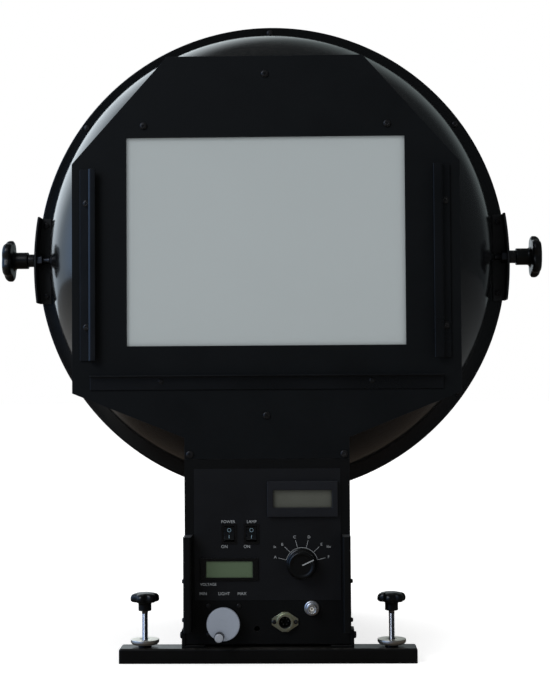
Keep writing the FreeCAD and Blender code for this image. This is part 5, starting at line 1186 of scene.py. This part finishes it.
def makeJack():
    low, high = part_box("coax_jack")
    place = axisPlace(((low.x + high.x) / 2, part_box("front_panel")[0].y, (low.z + high.z) / 2), forwards)
    ring, thick, barrel, long = jack["ring"], jack["ringThick"], jack["barrel"], jack["length"]
    behind, pin = jack["behind"], jack["pin"]
    bore, core, hole = barrel * jack["boreShare"], barrel * jack["coreShare"], jack["coreBore"]
    body = turned("jackBody", [
        (bore, behind, 0), (barrel, behind, 0), (barrel, 0, 0), (ring, 0, 0.2), (ring, thick * 0.75, 0.5),
        (ring * 0.9, thick, 0.3), (barrel + 0.5, thick, 0.2), (barrel, thick + 0.4, 0.1),
        (barrel, long, 0.25), (barrel * 0.84, long, 0.2), (barrel * 0.76, long * 0.86, 0.1),
        (bore, behind, 0)], 96)
    wide, start, end = jack["lug"], barrel - jack["lugSeat"], jack["lugReach"]
    lug = turned("jackLug", [(0, start, 0), (wide, start, 0), (wide, end, 0.3), (0, end, 0)], 24)
    seat = Matrix.Translation((0, 0, (long - jack["lugFromEnd"]) * mm))
    lugs = [(lug, seat @ Matrix.Rotation(sign * math.pi / 2, 4, "Y")) for sign in (-1, 1)]
    mesh = joinMeshes("jackMetal", [(body, Matrix.Identity(4))] + lugs)
    addPiece("jack_shell", mesh, "stand", ["jackMetal"], ["coax_jack"], place)
    insulator = turned("jackCore", [
        (hole, behind, 0), (core, behind, 0), (core, long * 0.45, 0.2), (barrel * 0.5, long * 0.47, 0.1),
        (barrel * 0.46, long * 0.72, 0.2), (hole, long * 0.72, 0.1), (hole, long * 0.3, 0)], 64)
    addPiece("jack_insulator", insulator, "stand", ["insulatorWhite"], place=place)
    contact = turned("jackPin", [
        (0, jack["pinBehind"], 0), (pin, jack["pinBehind"], 0), (pin, long * 0.66, 0.2),
        (0.35, long * 0.68, 0.1), (0.3, long * 0.4, 0), (0, long * 0.4, 0)], 24)
    addPiece("jack_contact", contact, "stand", ["contactGold"], place=place)
    print("jack made")


makeSocket()
makeJack()


# inside and at the rear
innerFinishes = {
    "lamp_holders": "bareAluminium", "light_sensor": "bareAluminium", "selector_switch": "bareAluminium",
    "dial_potentiometer": "bareAluminium", "selector_shaft": "platedSteel", "dial_shaft": "platedSteel",
    "lamps": "lampGlass",
}
inlet = {"halfWidth": 9, "halfHeight": 5, "from": 2, "backWall": 3.5, "rounding": 0.5}
transformer = {"coreShare": 0.32, "rounding": 0.4}
board = {"chipBand": 20, "rounding": 0.2}


def makeInlet():
    low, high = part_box("mains_inlet")
    centre, start, end = (low + high) / 2, low.y + inlet["from"] * mm, high.y - inlet["backWall"] * mm

    def isPin(middle, normal):
        aside, above = abs(middle.x - centre.x), abs(middle.z - centre.z)
        return aside < inlet["halfWidth"] * mm and above < inlet["halfHeight"] * mm and start < middle.y < end

    piece = roundedCopy("mains_inlet", "stand", ["switchBlack", "bareAluminium"],
                        inlet["rounding"])
    paintFaces(piece, 1, isPin)


def makeInnerPieces():
    for node, look in innerFinishes.items():
        dress(nodes[node].data, look)
    makeInlet()
    core = roundedCopy("transformer", "stand", ["coreSteel", "coilTape"],
                       transformer["rounding"])
    low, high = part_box("transformer")
    centre, half = (low.x + high.x) / 2, (high.x - low.x) * transformer["coreShare"]
    paintFaces(core, 1, lambda middle, normal: abs(middle.x - centre) > half)
    plate = roundedCopy("driver_board", "stand", ["boardGreen", "chipBlack"],
                        board["rounding"])
    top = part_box("driver_board")[1].z - board["chipBand"] * mm
    paintFaces(plate, 1, lambda middle, normal: middle.z > top)
    print("inner pieces made")


makeInnerPieces()


# stage, light and camera; the floor as it is seen, and how gloss mirrors it near, far left and far right
floorLook = {"size": 40.0, "shown": (0.82, 0.82, 0.82), "near": (0.055, 0.042, 0.031),
             "left": (0.36, 0.36, 0.35), "right": (0.12, 0.125, 0.125), "nearReach": 0.35, "farReach": 1.0,
             "rough": 0.9, "gloss": 0.1, "lift": 0.62}
roomLook = {"ambient": 0.5, "dim": (0.035, 0.04, 0.043)}
walls = [
    {"towards": (-0.36, 0.88, 0.34), "from": 0.89, "full": 0.998, "light": (0.74, 0.8, 0.84)},
    {"towards": (-0.86, 0.5, -0.05), "from": 0.45, "full": 0.95, "light": (0.44, 0.53, 0.62)},
    {"towards": (0.05, 0.98, 0.2), "from": 0.8, "full": 1.0, "light": (0.17, 0.2, 0.2)},
    {"towards": (-0.12, 0.98, 0.16), "from": 0.965, "full": 0.999, "light": (0.3, 0.32, 0.33)},
    {"towards": (-0.96, -0.32, 0.12), "from": 0.45, "full": 0.96, "light": (0.28, 0.6, 1.25)},
]


def seenDirectly(tree, rays):
    direct, through = rays.outputs["Is Camera Ray"], rays.outputs["Is Transmission Ray"]
    return mathNode(tree, "ADD", direct, through, clamp=True)


# what gloss mirrors: a dim room in front of the object and paler walls behind it and to its left
def mirroredRoom(tree):
    towards = addNode(tree, "ShaderNodeTexCoord").outputs["Generated"]
    total = colour(*roomLook["dim"])
    for wall in walls:
        aim = tuple(Vector(wall["towards"]).normalized())
        lean = vectorNode(tree, "DOT_PRODUCT", towards, aim, "Value")
        share = ramp(tree, lean, wall["from"], wall["full"], interpolation_type="SMOOTHSTEP")
        total = mixColour(tree, share, total, colour(*wall["light"]), "ADD")
    return total


def makeFloor():
    half = floorLook["size"] / 2
    corners = [(-half, -half, 0), (half, -half, 0), (half, half, 0), (-half, half, 0)]
    floor = putInScene("floor", meshFrom("floor", corners, [[0, 1, 2, 3]], False))
    material, tree, shader = newMaterial("paleFloor")
    rays = addNode(tree, "ShaderNodeLightPath")
    across = addNode(tree, "ShaderNodeSeparateXYZ", {0: objectPlace(tree)}).outputs["X"]
    away = ramp(tree, mathNode(tree, "ABSOLUTE", across), floorLook["nearReach"], floorLook["farReach"],
                interpolation_type="SMOOTHSTEP")
    isRight = mathNode(tree, "GREATER_THAN", across, 0.0)
    far = mixColour(tree, isRight, colour(*floorLook["left"]), colour(*floorLook["right"]))
    mirrored = mixColour(tree, away, colour(*floorLook["near"]), far)
    paint = mixColour(tree, rays.outputs["Is Glossy Ray"], colour(*floorLook["shown"]), mirrored)
    glow = mathNode(tree, "MULTIPLY", seenDirectly(tree, rays), floorLook["lift"])
    setInputs(tree, shader, {
        "Base Color": paint, "Roughness": floorLook["rough"], "Specular IOR Level": floorLook["gloss"],
        "Emission Color": colour(1, 1, 1), "Emission Strength": glow})
    floor.data.materials.append(material)
    print("floor made")


def makeRoom():
    world = bpy.data.worlds.new("studio")
    world.use_nodes = True
    bpy.context.scene.world = world
    tree = world.node_tree
    rays = addNode(tree, "ShaderNodeLightPath")
    lift = mathNode(tree, "MULTIPLY", seenDirectly(tree, rays), 1 - roomLook["ambient"])
    plain = mathNode(tree, "ADD", lift, roomLook["ambient"])
    shown = mixColour(tree, rays.outputs["Is Glossy Ray"], plain, mirroredRoom(tree))
    setInputs(tree, tree.nodes["Background"], {"Color": shown, "Strength": 1.0})
    print("room made")


makeFloor()
makeRoom()

# each light hangs at its place and looks at a point straight above the middle of the floor
softLights = [
    {"name": "keyLeft", "from": (-1.9, -2.3, 2.3), "lookHeight": 0.4, "size": 1.6, "power": 36,
     "glossy": True},
    {"name": "fillRight", "from": (2.2, -1.9, 1.3), "lookHeight": 0.35, "size": 1.8, "power": 9,
     "glossy": False},
    {"name": "topRear", "from": (0.2, 0.9, 2.4), "lookHeight": 0.4, "size": 1.5, "power": 22,
     "glossy": False},
]


def makeLights():
    for item in softLights:
        data = bpy.data.lights.new(item["name"], "AREA")
        data.size = item["size"]
        data.energy = item["power"]
        lamp = putInScene(item["name"], data)
        aim = Vector((0, 0, item["lookHeight"])) - Vector(item["from"])
        lamp.matrix_world = axisPlace(item["from"], -aim.normalized())
        lamp.visible_glossy = item["glossy"]
    print("lights made")


makeLights()

# a camera in front, with its turn in degrees; the roll keeps the picture's own slight lean
view = {"from": (0.0434, -1.66305, 0.276), "yaw": -1.373, "pitch": 1.902, "roll": -0.362, "lens": 77.06,
        "sensor": 36, "farthest": 50}


def makeCamera():
    yaw, pitch, roll = (math.radians(view[key]) for key in ("yaw", "pitch", "roll"))
    ahead = Vector((math.sin(yaw) * math.cos(pitch), math.cos(yaw) * math.cos(pitch), math.sin(pitch)))
    level = Vector((math.cos(yaw), -math.sin(yaw), 0))
    above = level.cross(ahead)
    right = level * math.cos(roll) + above * math.sin(roll)
    up = above * math.cos(roll) - level * math.sin(roll)
    data = bpy.data.cameras.new("camera")
    data.lens = view["lens"]
    data.sensor_width = view["sensor"]
    data.clip_end = view["farthest"]
    camera = putInScene("camera", data)
    turn = Matrix((right, up, -ahead)).transposed().to_4x4()
    camera.matrix_world = Matrix.Translation(view["from"]) @ turn
    bpy.context.scene.camera = camera
    bpy.context.scene.view_settings.view_transform = "Standard"
    print("camera made")


makeCamera()
bpy.context.view_layer.update()
